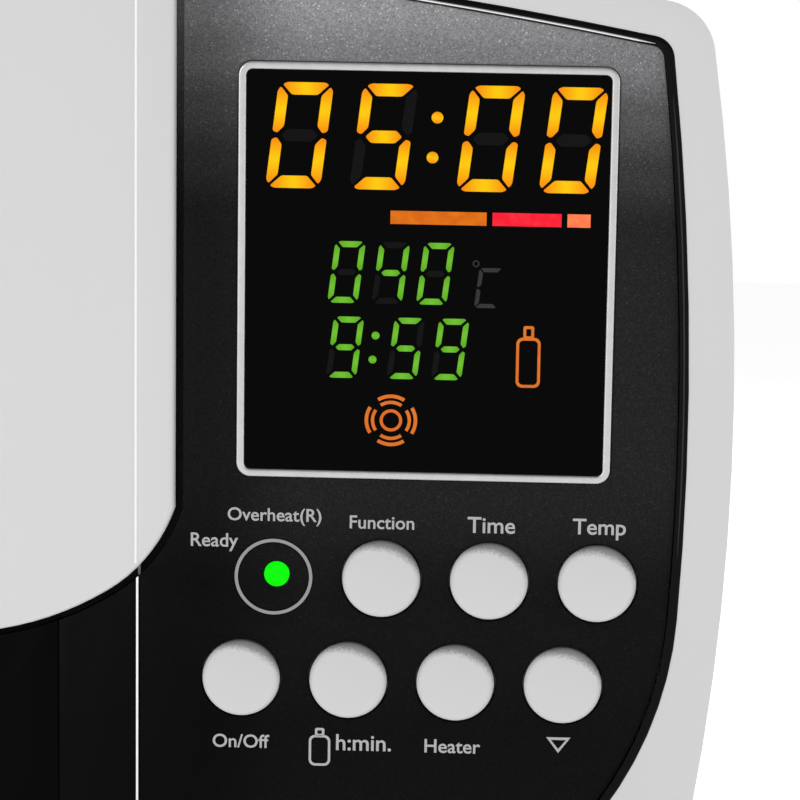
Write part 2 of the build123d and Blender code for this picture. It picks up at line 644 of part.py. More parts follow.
# ---------------------------------------------------------------- drain
with BuildPart() as drain_pipe:
    with BuildLine() as drain_route:
        FilletPolyline(
            (*DRAIN, TANK_FLOOR - TANK_SHEET),
            (*DRAIN, VALVE_Z),
            (VALVE_X, Y_BACK, VALVE_Z),
            radius=10.0,
        )
    with BuildSketch(Plane(origin=(*DRAIN, TANK_FLOOR - TANK_SHEET), z_dir=(0, 0, -1))):
        Circle(DRAIN_R)
        Circle(DRAIN_R - 1.2, mode=Mode.SUBTRACT)
    sweep()
save(drain_pipe, "drain_pipe")


def back_discs(places, radius, near, far, hole=0.0):
    """Discs or rings square to the back wall between two distances along Y."""
    with BuildPart() as discs:
        with BuildSketch(Plane.XZ.offset(-near)):
            with Locations(*places):
                Circle(radius)
                if hole:
                    Circle(hole, mode=Mode.SUBTRACT)
        extrude(amount=near - far)
    return discs.part


VALVE = (VALVE_X, VALVE_Z)
VALVE_BODY_END = Y_BACK + 22.0
LEVER_Y = Y_BACK + 12.0
STEM_TOP = VALVE_Z + 12.0
with BuildPart() as drain_valve:
    add(back_discs([VALVE], 9.0, Y_BACK, VALVE_BODY_END))
    add(back_discs([VALVE], 5.0, VALVE_BODY_END, Y_BACK + VALVE_OUT))
    for ridge in (26.0, 31.0, 36.0):
        add(back_discs([VALVE], 5.9, Y_BACK + ridge, Y_BACK + ridge + 2.5))
    add(back_discs([VALVE], 3.5, Y_BACK - 1, Y_BACK + VALVE_OUT + 1), mode=Mode.SUBTRACT)
    with BuildSketch(Plane.XY.offset(VALVE_Z + 4)):
        with Locations((VALVE_X, LEVER_Y)):
            Circle(5.0)
            Circle(1.6, mode=Mode.SUBTRACT)
    extrude(amount=STEM_TOP - VALVE_Z - 4)
    add(upright([(VALVE_X, LEVER_Y)], 1.6, STEM_TOP - 6, STEM_TOP + 1), mode=Mode.SUBTRACT)
save(drain_valve, "drain_valve")

with BuildPart() as drain_lever:
    with BuildSketch(Plane.XY.offset(STEM_TOP + 0.2)):
        with Locations((VALVE_X, LEVER_Y)):
            Circle(5.0)
            Rectangle(34, 7, align=(Align.MIN, Align.CENTER))
    extrude(amount=3)
    fillet(drain_lever.edges().filter_by(Axis.Z), 2.0)
    add(upright([(VALVE_X, LEVER_Y)], 1.55, STEM_TOP - 5, STEM_TOP + 0.5))
save(drain_lever, "drain_lever")

# ---------------------------------------------------------------- fan, guard and mains inlet
FAN = (FAN_X, FAN_Z)
FAN_BACK = Y_BACK - WALL
FAN_FRONT = FAN_BACK - FAN_THICK
FAN_CORNERS = [(FAN_X + sx * 25, FAN_Z + sz * 25) for sx, sz in CORNERS]


def back_square(place, width, height, corner, near, far):
    """Rounded rectangle square to the back wall between two distances along Y."""
    with BuildPart() as block:
        with BuildSketch(Plane.XZ.offset(-near)):
            with Locations(place):
                RectangleRounded(width, height, corner)
        extrude(amount=near - far)
    return block.part


with BuildPart() as fan_frame:
    add(back_square(FAN, FAN_SIZE, FAN_SIZE, 3.0, FAN_FRONT, FAN_BACK))
    add(back_discs([FAN], 28.5, FAN_FRONT - 1, FAN_BACK + 1), mode=Mode.SUBTRACT)
    add(back_discs([FAN], 9.0, FAN_FRONT, FAN_FRONT + 2))
    for angle in (45, 135):
        with BuildSketch(Plane.XZ.offset(-FAN_FRONT)):
            with Locations(FAN):
                Rectangle(60, 3, rotation=angle)
        extrude(amount=-2)
    add(back_discs([FAN], 1.55, FAN_FRONT - 1, FAN_FRONT + 8), mode=Mode.SUBTRACT)
    add(back_discs(FAN_CORNERS, 1.8, FAN_FRONT - 1, FAN_BACK + 1), mode=Mode.SUBTRACT)
save(fan_frame, "fan_frame")

with BuildPart() as fan_rotor:
    add(back_discs([FAN], 12.0, FAN_FRONT + 3, FAN_BACK - 2))
    add(back_discs([FAN], 1.5, FAN_FRONT + 0.4, FAN_FRONT + 4))
    with BuildSketch(Plane.XZ.offset(-FAN_FRONT - 4)):
        with Locations(FAN):
            with PolarLocations(0, 7):
                with Locations((19.2, 0)):
                    Rectangle(15.6, 2.6, rotation=24)
    extrude(amount=-7)
save(fan_rotor, "fan_rotor")

GUARD_SIZE, GUARD_THICK = 68.0, 1.6
with BuildPart() as fan_guard:
    add(back_square(FAN, GUARD_SIZE, GUARD_SIZE, 6.0, Y_BACK, Y_BACK + GUARD_THICK))
    with BuildSketch(Plane.XZ.offset(-Y_BACK + 1)):
        with Locations(FAN):
            for row in range(-4, 5):
                width = 2 * sqrt(27.0**2 - (5.6 * row) ** 2) - 2
                with Locations((0, 5.6 * row)):
                    SlotOverall(width, 3.4)
            Rectangle(2.2, 60, mode=Mode.SUBTRACT)
    extrude(amount=-GUARD_THICK - 3, mode=Mode.SUBTRACT)
save(fan_guard, "fan_guard")

INLET = (INLET_X, INLET_Z)
with BuildPart() as power_inlet:
    add(back_square(INLET, 27.8, 20.3, 2.4, Y_BACK - 16, Y_BACK))
    add(back_square(INLET, 50.0, 24.0, 4.0, Y_BACK, Y_BACK + 2.5))
    add(back_square(INLET, 24.0, 16.0, 2.0, Y_BACK - 12, Y_BACK + 3), mode=Mode.SUBTRACT)
    add(back_discs(INLET_SCREWS, SCREW_R + SCREW_ROOM, Y_BACK - 1, Y_BACK + 3), mode=Mode.SUBTRACT)
    for x, z in ((-7.0, -2.0), (7.0, -2.0), (0.0, 2.5)):
        add(back_square((INLET_X + x, INLET_Z + z), 2.0, 4.0, 0.3, Y_BACK - 13, Y_BACK - 1))
save(power_inlet, "power_inlet")

# ---------------------------------------------------------------- lid and its hinges
def lid_dome(inset, gap, height):
    """Tapered dome following the arched deck, inset all round, between two heights above the deck."""
    width, depth, corner = LID_W - 2 * inset, LID_D - 2 * inset, LID_CORNER - inset
    low = deck_height(HALF_WIDTH) - 5
    with BuildPart() as dome:
        add(rounded_block(width, depth, corner, low, DECK_Z + height + 5, TANK_Y, taper=LID_TAPER))
        add(arch_slab(gap, height), mode=Mode.INTERSECT)
    return dome.part


WINDOW_W, WINDOW_D, WINDOW_CORNER, WINDOW_LIP = 196.0, 112.0, 18.0, 4.0


def pane(wide, low, high):
    """Sheet following the lid's window, wider than it all round, between two heights."""
    width, depth, corner = WINDOW_W + 2 * wide, WINDOW_D + 2 * wide, WINDOW_CORNER + wide
    with BuildPart() as sheet:
        add(rounded_block(width, depth, corner, DECK_Z, DECK_Z + THROUGH, TANK_Y))
        add(arch_slab(low, high), mode=Mode.INTERSECT)
    return sheet.part


HANDLE_X, HANDLE_Y = 42.0, TANK_Y - 80.0
with BuildPart() as lid:
    add(lid_dome(0, LID_GAP, LID_HEIGHT))
    fillet(lid.faces().sort_by(Axis.Z)[-1].edges(), 6.0)
    add(pane(0, 0, LID_HEIGHT + LOOSE), mode=Mode.SUBTRACT)
    for side in (-1, 1):
        x = side * HINGE_X
        with BuildSketch(Plane.YZ.offset(x - 8)):
            with Locations((HINGE_Y, HINGE_Z)):
                Circle(5.0)
            with Locations((HINGE_Y - 9, HINGE_Z)):
                Rectangle(18, 8)
        extrude(amount=16)
    add(lid_dome(LID_WALL, -2, LID_HEIGHT - LID_WALL), mode=Mode.SUBTRACT)
    for side in (-1, 1):
        with BuildSketch(Plane.YZ.offset(side * HINGE_X - 10)):
            with Locations((HINGE_Y, HINGE_Z)):
                Circle(HINGE_PIN_R + 0.06)
        extrude(amount=20, mode=Mode.SUBTRACT)
save(lid, "lid")

LID_UNDER = LID_HEIGHT - LID_WALL
with BuildPart() as lid_window:
    add(pane(-0.1, LID_UNDER, LID_HEIGHT + 0.4))
    add(pane(WINDOW_LIP, LID_UNDER - 2, LID_UNDER))
save(lid_window, "lid_window")

LID_TOP = DECK_Z + LID_HEIGHT
HANDLE_RISE, HANDLE_BAR, HANDLE_POST = 18.0, 6.0, 12.0
with BuildPart() as lid_handle:
    with BuildSketch(Plane.XZ.offset(-HANDLE_Y - 8)):
        with BuildLine():
            reach, low = HANDLE_X + HANDLE_POST / 2, LID_TOP - 4
            high = LID_TOP + HANDLE_RISE
            Polyline((-reach, low), (-reach, high), (reach, high), (reach, low), close=True)
        make_face()
    extrude(amount=16)
    with BuildSketch(Plane.XZ.offset(-HANDLE_Y - 9)):
        with Locations((0, LID_TOP + (HANDLE_RISE - HANDLE_BAR) / 2 - 3)):
            RectangleRounded(2 * HANDLE_X - HANDLE_POST, HANDLE_RISE - HANDLE_BAR + 6, 5.0)
    extrude(amount=18, mode=Mode.SUBTRACT)
    add(arch_slab(-60, LID_HEIGHT), mode=Mode.SUBTRACT)
    fillet(lid_handle.edges().filter_by(Axis.Y).group_by(Axis.Z)[-1], 7.0)
save(lid_handle, "lid_handle")

with BuildPart() as lid_seal:
    add(lid_dome(LID_WALL, LID_GAP, 4.0))
    add(lid_dome(LID_WALL + 3.0, LID_GAP - 2, 6.0), mode=Mode.SUBTRACT)
save(lid_seal, "lid_seal")

LUG_GAP, LUG_THICK = 0.5, 4.0
with BuildPart() as hinge_brackets:
    for side in (-1, 1):
        inner = HINGE_X - 8 - LUG_GAP - LUG_THICK
        for start in (inner, HINGE_X + 8 + LUG_GAP):
            x_low = start if side > 0 else -start - LUG_THICK
            with BuildSketch(Plane.YZ.offset(x_low)):
                with Locations((HINGE_Y, HINGE_Z)):
                    Circle(5.0)
                with Locations((HINGE_Y, HINGE_Z - 10)):
                    Rectangle(10, 20)
                with Locations((HINGE_Y, HINGE_Z)):
                    Circle(HINGE_PIN_R, mode=Mode.SUBTRACT)
            extrude(amount=LUG_THICK)
        with BuildSketch(Plane.XY.offset(DECK_Z - 12)):
            with Locations((side * HINGE_X, HINGE_Y + 1)):
                Rectangle(2 * (8 + LUG_GAP + LUG_THICK), 12)
        extrude(amount=HINGE_Z - 7 - DECK_Z + 12)
    add(arch_slab(-40, 0), mode=Mode.SUBTRACT)
save(hinge_brackets, "hinge_brackets")

HINGE_SPAN = 16 + 2 * (LUG_GAP + LUG_THICK)
with BuildPart() as hinge_pins:
    for side in (-1, 1):
        with BuildSketch(Plane.YZ.offset(side * HINGE_X - HINGE_SPAN / 2)):
            with Locations((HINGE_Y, HINGE_Z)):
                Circle(HINGE_PIN_R)
        extrude(amount=HINGE_SPAN)
save(hinge_pins, "hinge_pins")

# ---------------------------------------------------------------- basket
BASKET_W, BASKET_D, BASKET_CORNER, BASKET_SHEET = 268.0, 168.0, 22.0, 1.2
BASKET_LOW, BASKET_HIGH = TANK_FLOOR + 8.0, TANK_RIM - 25.0
BASKET_RIM = 3.0
BASKET_FEET = ((-100, -60), (110, -60), (-100, 60), (110, 60))


def basket_block(grow, low, high):
    """The basket's plan grown by a distance all round, between two heights."""
    width, depth = BASKET_W + 2 * grow, BASKET_D + 2 * grow
    return rounded_block(width, depth, BASKET_CORNER + grow, low, high, TANK_Y)


with BuildPart() as basket:
    add(basket_block(0, BASKET_LOW, BASKET_HIGH))
    add(basket_block(BASKET_RIM, BASKET_HIGH - BASKET_SHEET, BASKET_HIGH))
    add(basket_block(-BASKET_SHEET, BASKET_LOW + BASKET_SHEET, BASKET_HIGH + 1), mode=Mode.SUBTRACT)
    with BuildSketch(Plane.XY.offset(BASKET_LOW - 1)):
        with Locations((0, TANK_Y)):
            with GridLocations(26, 12, 9, 11):
                SlotOverall(20, 4)
    extrude(amount=4, mode=Mode.SUBTRACT)
    with BuildSketch(Plane.XZ.offset(-TANK_Y)):
        with Locations((0, (BASKET_LOW + BASKET_HIGH) / 2)):
            with GridLocations(12, 36, 19, 2):
                SlotOverall(26, 4, rotation=90)
    extrude(amount=BASKET_D, both=True, mode=Mode.SUBTRACT)
    with BuildSketch(Plane.YZ):
        with Locations((TANK_Y, (BASKET_LOW + BASKET_HIGH) / 2)):
            with GridLocations(12, 36, 11, 2):
                SlotOverall(26, 4, rotation=90)
    extrude(amount=BASKET_W, both=True, mode=Mode.SUBTRACT)
    with BuildSketch(Plane.XY.offset(TANK_FLOOR)):
        with Locations(*((x, TANK_Y + y) for x, y in BASKET_FEET)):
            Circle(4.0)
    extrude(amount=BASKET_LOW - TANK_FLOOR + 0.6)
save(basket, "basket")

# each handle folds in over the basket from the inside of an end wall
EAR_X = BASKET_W / 2 - BASKET_SHEET - 3.5
EAR_Z = BASKET_HIGH + 4.0
HANDLE_WIRE_R, BAIL_HALF, BAIL_REACH = 2.0, 38.0, 32.0
with BuildPart() as basket_ears:
    for side in (-1, 1):
        x_out, x_in = side * (BASKET_W / 2 - BASKET_SHEET), side * (EAR_X - 3.5)
        ear = [
            (x_out, BASKET_HIGH - 12),
            (x_out, EAR_Z + 3.5),
            (x_in, EAR_Z + 3.5),
            (x_in, EAR_Z - 4),
        ]
        for y in (-BAIL_HALF - 4.5, BAIL_HALF + 2.5):
            with BuildSketch(Plane.XZ.offset(-TANK_Y - y - 2)):
                with BuildLine():
                    Polyline(*ear, close=True)
                make_face()
                with Locations((side * EAR_X, EAR_Z)):
                    Circle(HANDLE_WIRE_R + 0.06, mode=Mode.SUBTRACT)
            extrude(amount=2)
save(basket_ears, "basket_ears")

for name, side in (("basket_handle_left", -1), ("basket_handle_right", 1)):
    with BuildPart() as bail:
        with BuildLine() as bail_route:
            x_hinge, x_grip = side * EAR_X, side * (EAR_X - BAIL_REACH)
            FilletPolyline(
                (x_hinge, TANK_Y - BAIL_HALF - 5, EAR_Z),
                (x_hinge, TANK_Y - BAIL_HALF + 4, EAR_Z),
                (x_grip, TANK_Y - BAIL_HALF + 4, EAR_Z),
                (x_grip, TANK_Y + BAIL_HALF - 4, EAR_Z),
                (x_hinge, TANK_Y + BAIL_HALF - 4, EAR_Z),
                (x_hinge, TANK_Y + BAIL_HALF + 5, EAR_Z),
                radius=3.5,
            )
        with BuildSketch(Plane(origin=(x_hinge, TANK_Y - BAIL_HALF - 5, EAR_Z), z_dir=(0, 1, 0))):
            Circle(HANDLE_WIRE_R)
        sweep()
    save(bail, name)

# ---------------------------------------------------------------- base, supports, feet and boards
with BuildPart() as base_plate:
    with BuildSketch(Plane.XY.offset(BASE_Z)):
        with Locations((0, BASE_Y)):
            RectangleRounded(*BASE_PLATE)
    extrude(amount=BASE_THICK)
    with BuildSketch(Plane.XY.offset(BASE_Z - 1)):
        with Locations(*BASE_SCREWS):
            Circle(SCREW_R + SCREW_ROOM)
        with Locations((0, BASE_Y)):
            with GridLocations(9, 40, 12, 2):
                SlotOverall(26, 3.5, rotation=90)
    extrude(amount=4, mode=Mode.SUBTRACT)
save(base_plate, "base_plate")

SUPPORT_X = (-128.0, 128.0)
SUPPORT_TOP, SUPPORT_WALL = TANK_FLOOR - TANK_SHEET, 1.5
with BuildPart() as tank_supports:
    with BuildSketch(Plane.XZ.offset(-TANK_Y + 60)):
        for x in SUPPORT_X:
            with Locations((x, FLOOR_TOP)):
                Rectangle(24, SUPPORT_WALL, align=(Align.CENTER, Align.MIN))
                Rectangle(14, SUPPORT_TOP - FLOOR_TOP, align=(Align.CENTER, Align.MIN))
        for x in SUPPORT_X:
            with Locations((x, FLOOR_TOP)):
                room = SUPPORT_TOP - FLOOR_TOP - SUPPORT_WALL
                Rectangle(11, room, align=(Align.CENTER, Align.MIN), mode=Mode.SUBTRACT)
    extrude(amount=-36)
save(tank_supports, "tank_supports")

for name, (x, y) in FEET.items():
    with BuildPart() as foot:
        with BuildSketch(Plane.XY):
            with Locations((x, y)):
                Circle(11.0)
        extrude(amount=FOOT_HEIGHT, taper=-5)
        fillet(foot.edges().sort_by(Axis.Z)[0], 1.5)
        add(upright([(x, y)], 5.5, -1, 6), mode=Mode.SUBTRACT)
        add(upright([(x, y)], SCREW_R + SCREW_ROOM, 5, FOOT_HEIGHT + 1), mode=Mode.SUBTRACT)
    save(foot, name)

POWER_AT = (-20.0, TANK_Y - 50)
POWER_SIZE = (100.0, 66.0)
POWER_Z = FLOOR_TOP + 6.0
POSTS = [(POWER_AT[0] + sx * 45, POWER_AT[1] + sy * 28) for sx, sy in CORNERS]
with BuildPart() as power_board:
    with BuildSketch(Plane.XY.offset(POWER_Z)):
        with Locations(POWER_AT):
            RectangleRounded(*POWER_SIZE, 2)
    extrude(amount=BOARD_THICK)
save(power_board, "power_board")

with BuildPart() as board_standoffs:
    add(upright(POSTS, 3.0, FLOOR_TOP, POWER_Z))
    add(console_discs(STANDOFFS, 3.0, FRONT_WALL, BOARD_DEPTH))
    add(console_discs(STANDOFFS, 1.3, BOARD_DEPTH - 7, BOARD_DEPTH + 1), mode=Mode.SUBTRACT)
save(board_standoffs, "board_standoffs")

with BuildPart() as screws:
    add(upright(BASE_SCREWS, SCREW_R, FOOT_HEIGHT, FLOOR_TOP + 3))
    add(upright(BASE_SCREWS, SCREW_HEAD_R, FOOT_HEIGHT - SCREW_HEAD, FOOT_HEIGHT))
    add(upright(FEET.values(), SCREW_R, 6.0, FLOOR_TOP + 3))
    add(upright(FEET.values(), 5.0, 6.0 - SCREW_HEAD, 6.0))
    add(back_discs(INLET_SCREWS, SCREW_R, Y_BACK - 8, Y_BACK + 2.5))
    add(back_discs(INLET_SCREWS, SCREW_HEAD_R, Y_BACK + 2.5, Y_BACK + 2.5 + SCREW_HEAD))
    add(console_discs(STANDOFFS, 1.25, BOARD_DEPTH - 6, BOARD_BACK))
    add(console_discs(STANDOFFS, 2.6, BOARD_BACK, BOARD_BACK + SCREW_HEAD))
save(screws, "screws")

# each: place on the board, width, depth, height
COMPONENTS = ((-30, 8, 28, 24, 22), (2, 14, 19, 15, 16), (30, 12, 16, 26, 14), (28, -18, 24, 10, 12))
CAPACITORS = [(POWER_AT[0] - 34, POWER_AT[1] - 20), (POWER_AT[0] - 16, POWER_AT[1] - 20)]
with BuildPart() as power_components:
    top = POWER_Z + BOARD_THICK
    for dx, dy, w, d, h in COMPONENTS:
        with BuildSketch(Plane.XY.offset(top)):
            with Locations((POWER_AT[0] + dx, POWER_AT[1] + dy)):
                Rectangle(w, d)
        extrude(amount=h)
    add(upright(CAPACITORS, 6.0, top, top + 20))
save(power_components, "power_components")


def wire(points, radius, bend):
    """Round lead along straight runs joined by tangent arcs."""
    start, after = Vector(*points[0]), Vector(*points[1])
    with BuildPart() as lead:
        with BuildLine():
            FilletPolyline(*points, radius=bend)
        with BuildSketch(Plane(origin=start, z_dir=(after - start).normalized())):
            Circle(radius)
        sweep()
    return lead.part


LEAD_TOP = CONSOLE.from_local_coords((-30.0, -60.0, -(BOARD_BACK + 0.5)))
SIGNAL_ROUTE = [
    (LEAD_TOP.X, LEAD_TOP.Y, LEAD_TOP.Z),
    (LEAD_TOP.X, LEAD_TOP.Y + 12, LEAD_TOP.Z),
    (LEAD_TOP.X, LEAD_TOP.Y + 12, POWER_Z + 8),
    (POWER_AT[0] + 50.5, LEAD_TOP.Y + 12, POWER_Z + 8),
]
with BuildPart() as signal_cable:
    add(wire(SIGNAL_ROUTE, 2.2, 6.0))
save(signal_cable, "signal_cable")

MAINS_ROUTE = [
    (INLET_X, Y_BACK - 16, INLET_Z),
    (INLET_X, Y_BACK - 30, INLET_Z),
    (INLET_X, Y_BACK - 30, POWER_Z + 4),
    (INLET_X, POWER_AT[1] + 33.5, POWER_Z + 4),
]
with BuildPart() as mains_cable:
    add(wire(MAINS_ROUTE, 3.0, 8.0))
save(mains_cable, "mains_cable")
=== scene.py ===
"""Looks of the countertop sous vide bath: rounded casing, flake fascia, lit display, printed legends, studio."""
import json
from math import cos, pi, radians, sin, sqrt, tan

import bmesh
import bpy
from mathutils import Matrix, Vector


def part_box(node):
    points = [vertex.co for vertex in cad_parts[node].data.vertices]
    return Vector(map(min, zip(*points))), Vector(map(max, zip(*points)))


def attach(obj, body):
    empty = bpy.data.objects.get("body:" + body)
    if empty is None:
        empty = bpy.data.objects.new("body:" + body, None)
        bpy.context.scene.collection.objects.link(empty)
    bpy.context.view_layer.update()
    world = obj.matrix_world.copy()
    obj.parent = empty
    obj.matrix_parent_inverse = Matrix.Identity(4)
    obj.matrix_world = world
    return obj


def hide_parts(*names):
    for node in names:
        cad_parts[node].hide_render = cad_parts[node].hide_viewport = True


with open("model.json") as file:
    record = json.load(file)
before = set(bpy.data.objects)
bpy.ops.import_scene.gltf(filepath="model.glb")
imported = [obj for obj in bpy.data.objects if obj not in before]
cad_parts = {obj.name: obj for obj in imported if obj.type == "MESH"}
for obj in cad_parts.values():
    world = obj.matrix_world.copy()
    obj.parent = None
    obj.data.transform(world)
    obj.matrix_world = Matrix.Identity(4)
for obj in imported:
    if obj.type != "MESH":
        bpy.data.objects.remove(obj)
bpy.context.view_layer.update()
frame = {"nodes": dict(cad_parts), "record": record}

MM = 0.001
LEAN = radians(8)  # the front leans forward
FOLD = radians(5)  # each console turns back from the middle
CREASE_X = 92.0  # mm from the middle of the front
nodes = frame["nodes"]
record = frame["record"]

# ---------------------------------------------------------------- the console's own frame
OUT_FRONT = Vector((0, -cos(LEAN), -sin(LEAN)))
UP = Vector((0, -sin(LEAN), cos(LEAN)))
ACROSS = Vector((1, 0, 0)) * cos(FOLD) - OUT_FRONT * sin(FOLD)
OUT = OUT_FRONT * cos(FOLD) + Vector((1, 0, 0)) * sin(FOLD)
BEZEL_DEPTH = 2.6 * MM
LENS_DEPTH, FASCIA_DEPTH = 0.5, 0.4  # mm behind the console's surface
bezel_low, bezel_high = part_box("display_bezel")
CENTRE = (Vector(bezel_low) + Vector(bezel_high)) / 2 + OUT * BEZEL_DEPTH / 2
CONSOLE_TURN = Matrix((ACROSS, UP, OUT)).transposed().to_4x4()


def console(u, v, out=0.0):
    """A point on the console, in mm from the display's centre and out from its surface."""
    return CENTRE + (ACROSS * u + UP * v + OUT * out) * MM


# ---------------------------------------------------------------- materials
class Paint:
    """A procedural material under construction."""

    def __init__(self, name):
        self.mat = bpy.data.materials.new(name)
        self.mat.use_nodes = True
        self.tree = self.mat.node_tree
        self.shader = self.tree.nodes["Principled BSDF"]
        self.coords = self.tree.nodes.new("ShaderNodeTexCoord").outputs["Object"]

    def node(self, kind, **settings):
        """A new node, with its properties or unlinked inputs set by name."""
        made = self.tree.nodes.new(kind)
        for key, value in settings.items():
            if hasattr(made, key):
                setattr(made, key, value)
            else:
                made.inputs[key].default_value = value
        return made

    def link(self, a, b):
        self.tree.links.new(a, b)

    def feed(self, source, name):
        """Links an output to one of the shader's inputs."""
        self.link(source, self.shader.inputs[name])

    def set(self, **values):
        """Sets the shader's own inputs, with _ for a space in their names."""
        for key, value in values.items():
            self.shader.inputs[key.replace("_", " ")].default_value = value

    def noise(self, scale, detail=2.0):
        texture = self.node("ShaderNodeTexNoise", Scale=scale, Detail=detail)
        self.link(self.coords, texture.inputs["Vector"])
        return texture.outputs["Fac"]

    def ramp(self, source, low, high, start=0.3, end=0.7):
        """Turns start..end into the colours low..high."""
        ramp = self.node("ShaderNodeValToRGB")
        for stop, place, colour in zip(ramp.color_ramp.elements, (start, end), (low, high)):
            stop.position = place
            stop.color = (*colour, 1)
        self.link(source, ramp.inputs["Fac"])
        return ramp.outputs["Color"]

    def span(self, source, low=0.0, high=1.0, start=0.0, end=1.0, curve="LINEAR"):
        """Maps start..end to low..high."""
        made = self.node("ShaderNodeMapRange", interpolation_type=curve)
        for name, value in (("From Min", start), ("From Max", end), ("To Min", low), ("To Max", high)):
            made.inputs[name].default_value = value
        self.link(source, made.inputs["Value"])
        return made.outputs["Result"]

    def product(self, first, second):
        """Multiplies two colours."""
        mixed = self.node("ShaderNodeMix", data_type="RGBA", blend_type="MULTIPLY")
        mixed.inputs["Factor"].default_value = 1.0
        self.link(first, mixed.inputs["A"])
        self.link(second, mixed.inputs["B"])
        return mixed.outputs["Result"]

    def bump(self, source, depth, strength):
        bump = self.node("ShaderNodeBump", Strength=strength, Distance=depth)
        self.link(source, bump.inputs["Height"])
        self.feed(bump.outputs["Normal"], "Normal")


def grey(tone):
    """A neutral colour."""
    return (tone, tone, tone)


MOTTLE_SCALE, WANDER_SCALE = 9.0, 60.0  # of a moulded part's colour and roughness
MOULD_BUMP, COAT_ROUGHNESS = 0.5, 0.12


def moulded_paint(name, colour, spread, rough, grain=1400.0, depth=0.00002, coat=0.0, gloss=0.5):
    """Moulded plastic: slight mottling, a fine grain and a roughness that wanders."""
    paint = Paint(name)
    low = tuple(c * (1 - spread) for c in colour)
    high = tuple(min(1.0, c * (1 + spread)) for c in colour)
    paint.feed(paint.ramp(paint.noise(MOTTLE_SCALE, 3.0), low, high), "Base Color")
    paint.feed(paint.span(paint.noise(WANDER_SCALE, 4.0), *rough), "Roughness")
    paint.bump(paint.noise(grain, 3.0), depth, MOULD_BUMP)
    paint.set(Coat_Weight=coat, Coat_Roughness=COAT_ROUGHNESS, Specular_IOR_Level=gloss)
    return paint


def moulded(*looks, **more):
    """The finished material that moulded_paint makes."""
    return moulded_paint(*looks, **more).mat


METAL_DARK = 0.9  # the grain's darkest tone, as a share of the colour
METAL_DEPTH, METAL_BUMP = 0.00001, 0.4


def metal(name, colour, rough, stretch):
    """Metal with a fine grain, which runs along the axis with the smallest stretch."""
    paint = Paint(name)
    mapping = paint.node("ShaderNodeMapping", Scale=stretch)
    paint.link(paint.coords, mapping.inputs["Vector"])
    texture = paint.node("ShaderNodeTexNoise", Scale=1.0, Detail=4.0)
    paint.link(mapping.outputs["Vector"], texture.inputs["Vector"])
    grain = texture.outputs["Fac"]
    paint.feed(paint.ramp(grain, tuple(c * METAL_DARK for c in colour), colour), "Base Color")
    paint.feed(paint.span(grain, *rough), "Roughness")
    paint.bump(grain, METAL_DEPTH, METAL_BUMP)
    paint.set(Metallic=1.0)
    return paint.mat


FASCIA_LOW, FASCIA_HIGH = 0.06, 0.206  # heights between which the painted sheen on the lacquer fades
# how light the lacquer is at a height, from the fascia's foot to its top edge: its own dark tone low down,
# rising to a painted sheen of the top light near the top edge
PAINTED_SHEEN = [
    (0.06, 0.004), (0.09, 0.006), (0.115, 0.016), (0.16, 0.017), (0.17, 0.04),
    (0.18, 0.09), (0.189, 0.19), (0.198, 0.3), (0.203, 0.46),
]
SHADED_X, LIT_X, SHADE = 0.103, 0.124, 0.4  # painted shade: the fascia darkens towards the shield
COOL = 1.02  # how much bluer than neutral the lacquer is
FLAKE_SCALE, FLAKE_DEPTH, FLAKE_BUMP, FLAKE_GLOSS = 4200.0, 0.00003, 0.35, 0.04
FLAKE_WANDER, FLAKE_ROUGH = 700.0, (0.34, 0.5)
DULL, BRIGHT, SPECK = (0.7, 0.7, 0.7), (1.25, 1.25, 1.28), (2.1, 2.1, 2.15)
DULL_STOP, BRIGHT_STOP, SPECK_STOP = 0.15, 0.85, 0.93


def flake(name, strength):
    """Charcoal lacquer with fine metal flake, with a painted sheen that makes it lighter towards the top edge
    and painted shade towards the shield.
    """
    paint = Paint(name)
    split = paint.node("ShaderNodeSeparateXYZ")
    paint.link(paint.coords, split.inputs["Vector"])
    height = paint.span(split.outputs["Z"], start=FASCIA_LOW, end=FASCIA_HIGH)
    # painted sheen: the colour rises towards the top edge, where the top light falls
    sheen_ramp = paint.node("ShaderNodeValToRGB")
    sheen_ramp.color_ramp.interpolation = "EASE"
    stops = sheen_ramp.color_ramp.elements
    while len(stops) < len(PAINTED_SHEEN):
        stops.new(0.5)
    for stop, (z, tone) in zip(stops, PAINTED_SHEEN):
        stop.position = (z - FASCIA_LOW) / (FASCIA_HIGH - FASCIA_LOW)
        stop.color = (tone * strength, tone * strength, tone * strength * COOL, 1)
    paint.link(height, sheen_ramp.inputs["Fac"])
    outward = paint.node("ShaderNodeMath", operation="ABSOLUTE")
    paint.link(split.outputs["X"], outward.inputs[0])
    across = paint.span(outward.outputs["Value"], start=SHADED_X, end=LIT_X, curve="SMOOTHSTEP")
    shade = paint.ramp(across, grey(SHADE), grey(1.0), 0.0, 1.0)
    cells = paint.node("ShaderNodeTexVoronoi", Scale=FLAKE_SCALE)
    paint.link(paint.coords, cells.inputs["Vector"])
    spark = paint.ramp(cells.outputs["Color"], DULL, BRIGHT, DULL_STOP, BRIGHT_STOP)
    speck = spark.node.color_ramp.elements.new(SPECK_STOP)
    speck.color = (*SPECK, 1)
    tone = paint.product(paint.product(sheen_ramp.outputs["Color"], shade), spark)
    paint.feed(tone, "Base Color")
    paint.feed(paint.span(paint.noise(FLAKE_WANDER, 4.0), *FLAKE_ROUGH), "Roughness")
    paint.bump(cells.outputs["Distance"], FLAKE_DEPTH, FLAKE_BUMP)
    paint.set(Specular_IOR_Level=FLAKE_GLOSS)
    return paint.mat


LAMP_BLACK, LAMP_GLOSS, LAMP_ROUGH, LAMP_GRAIN = 0.003, 0.05, (0.4, 0.5), 900.0
GLOW_SCALE = 500.0


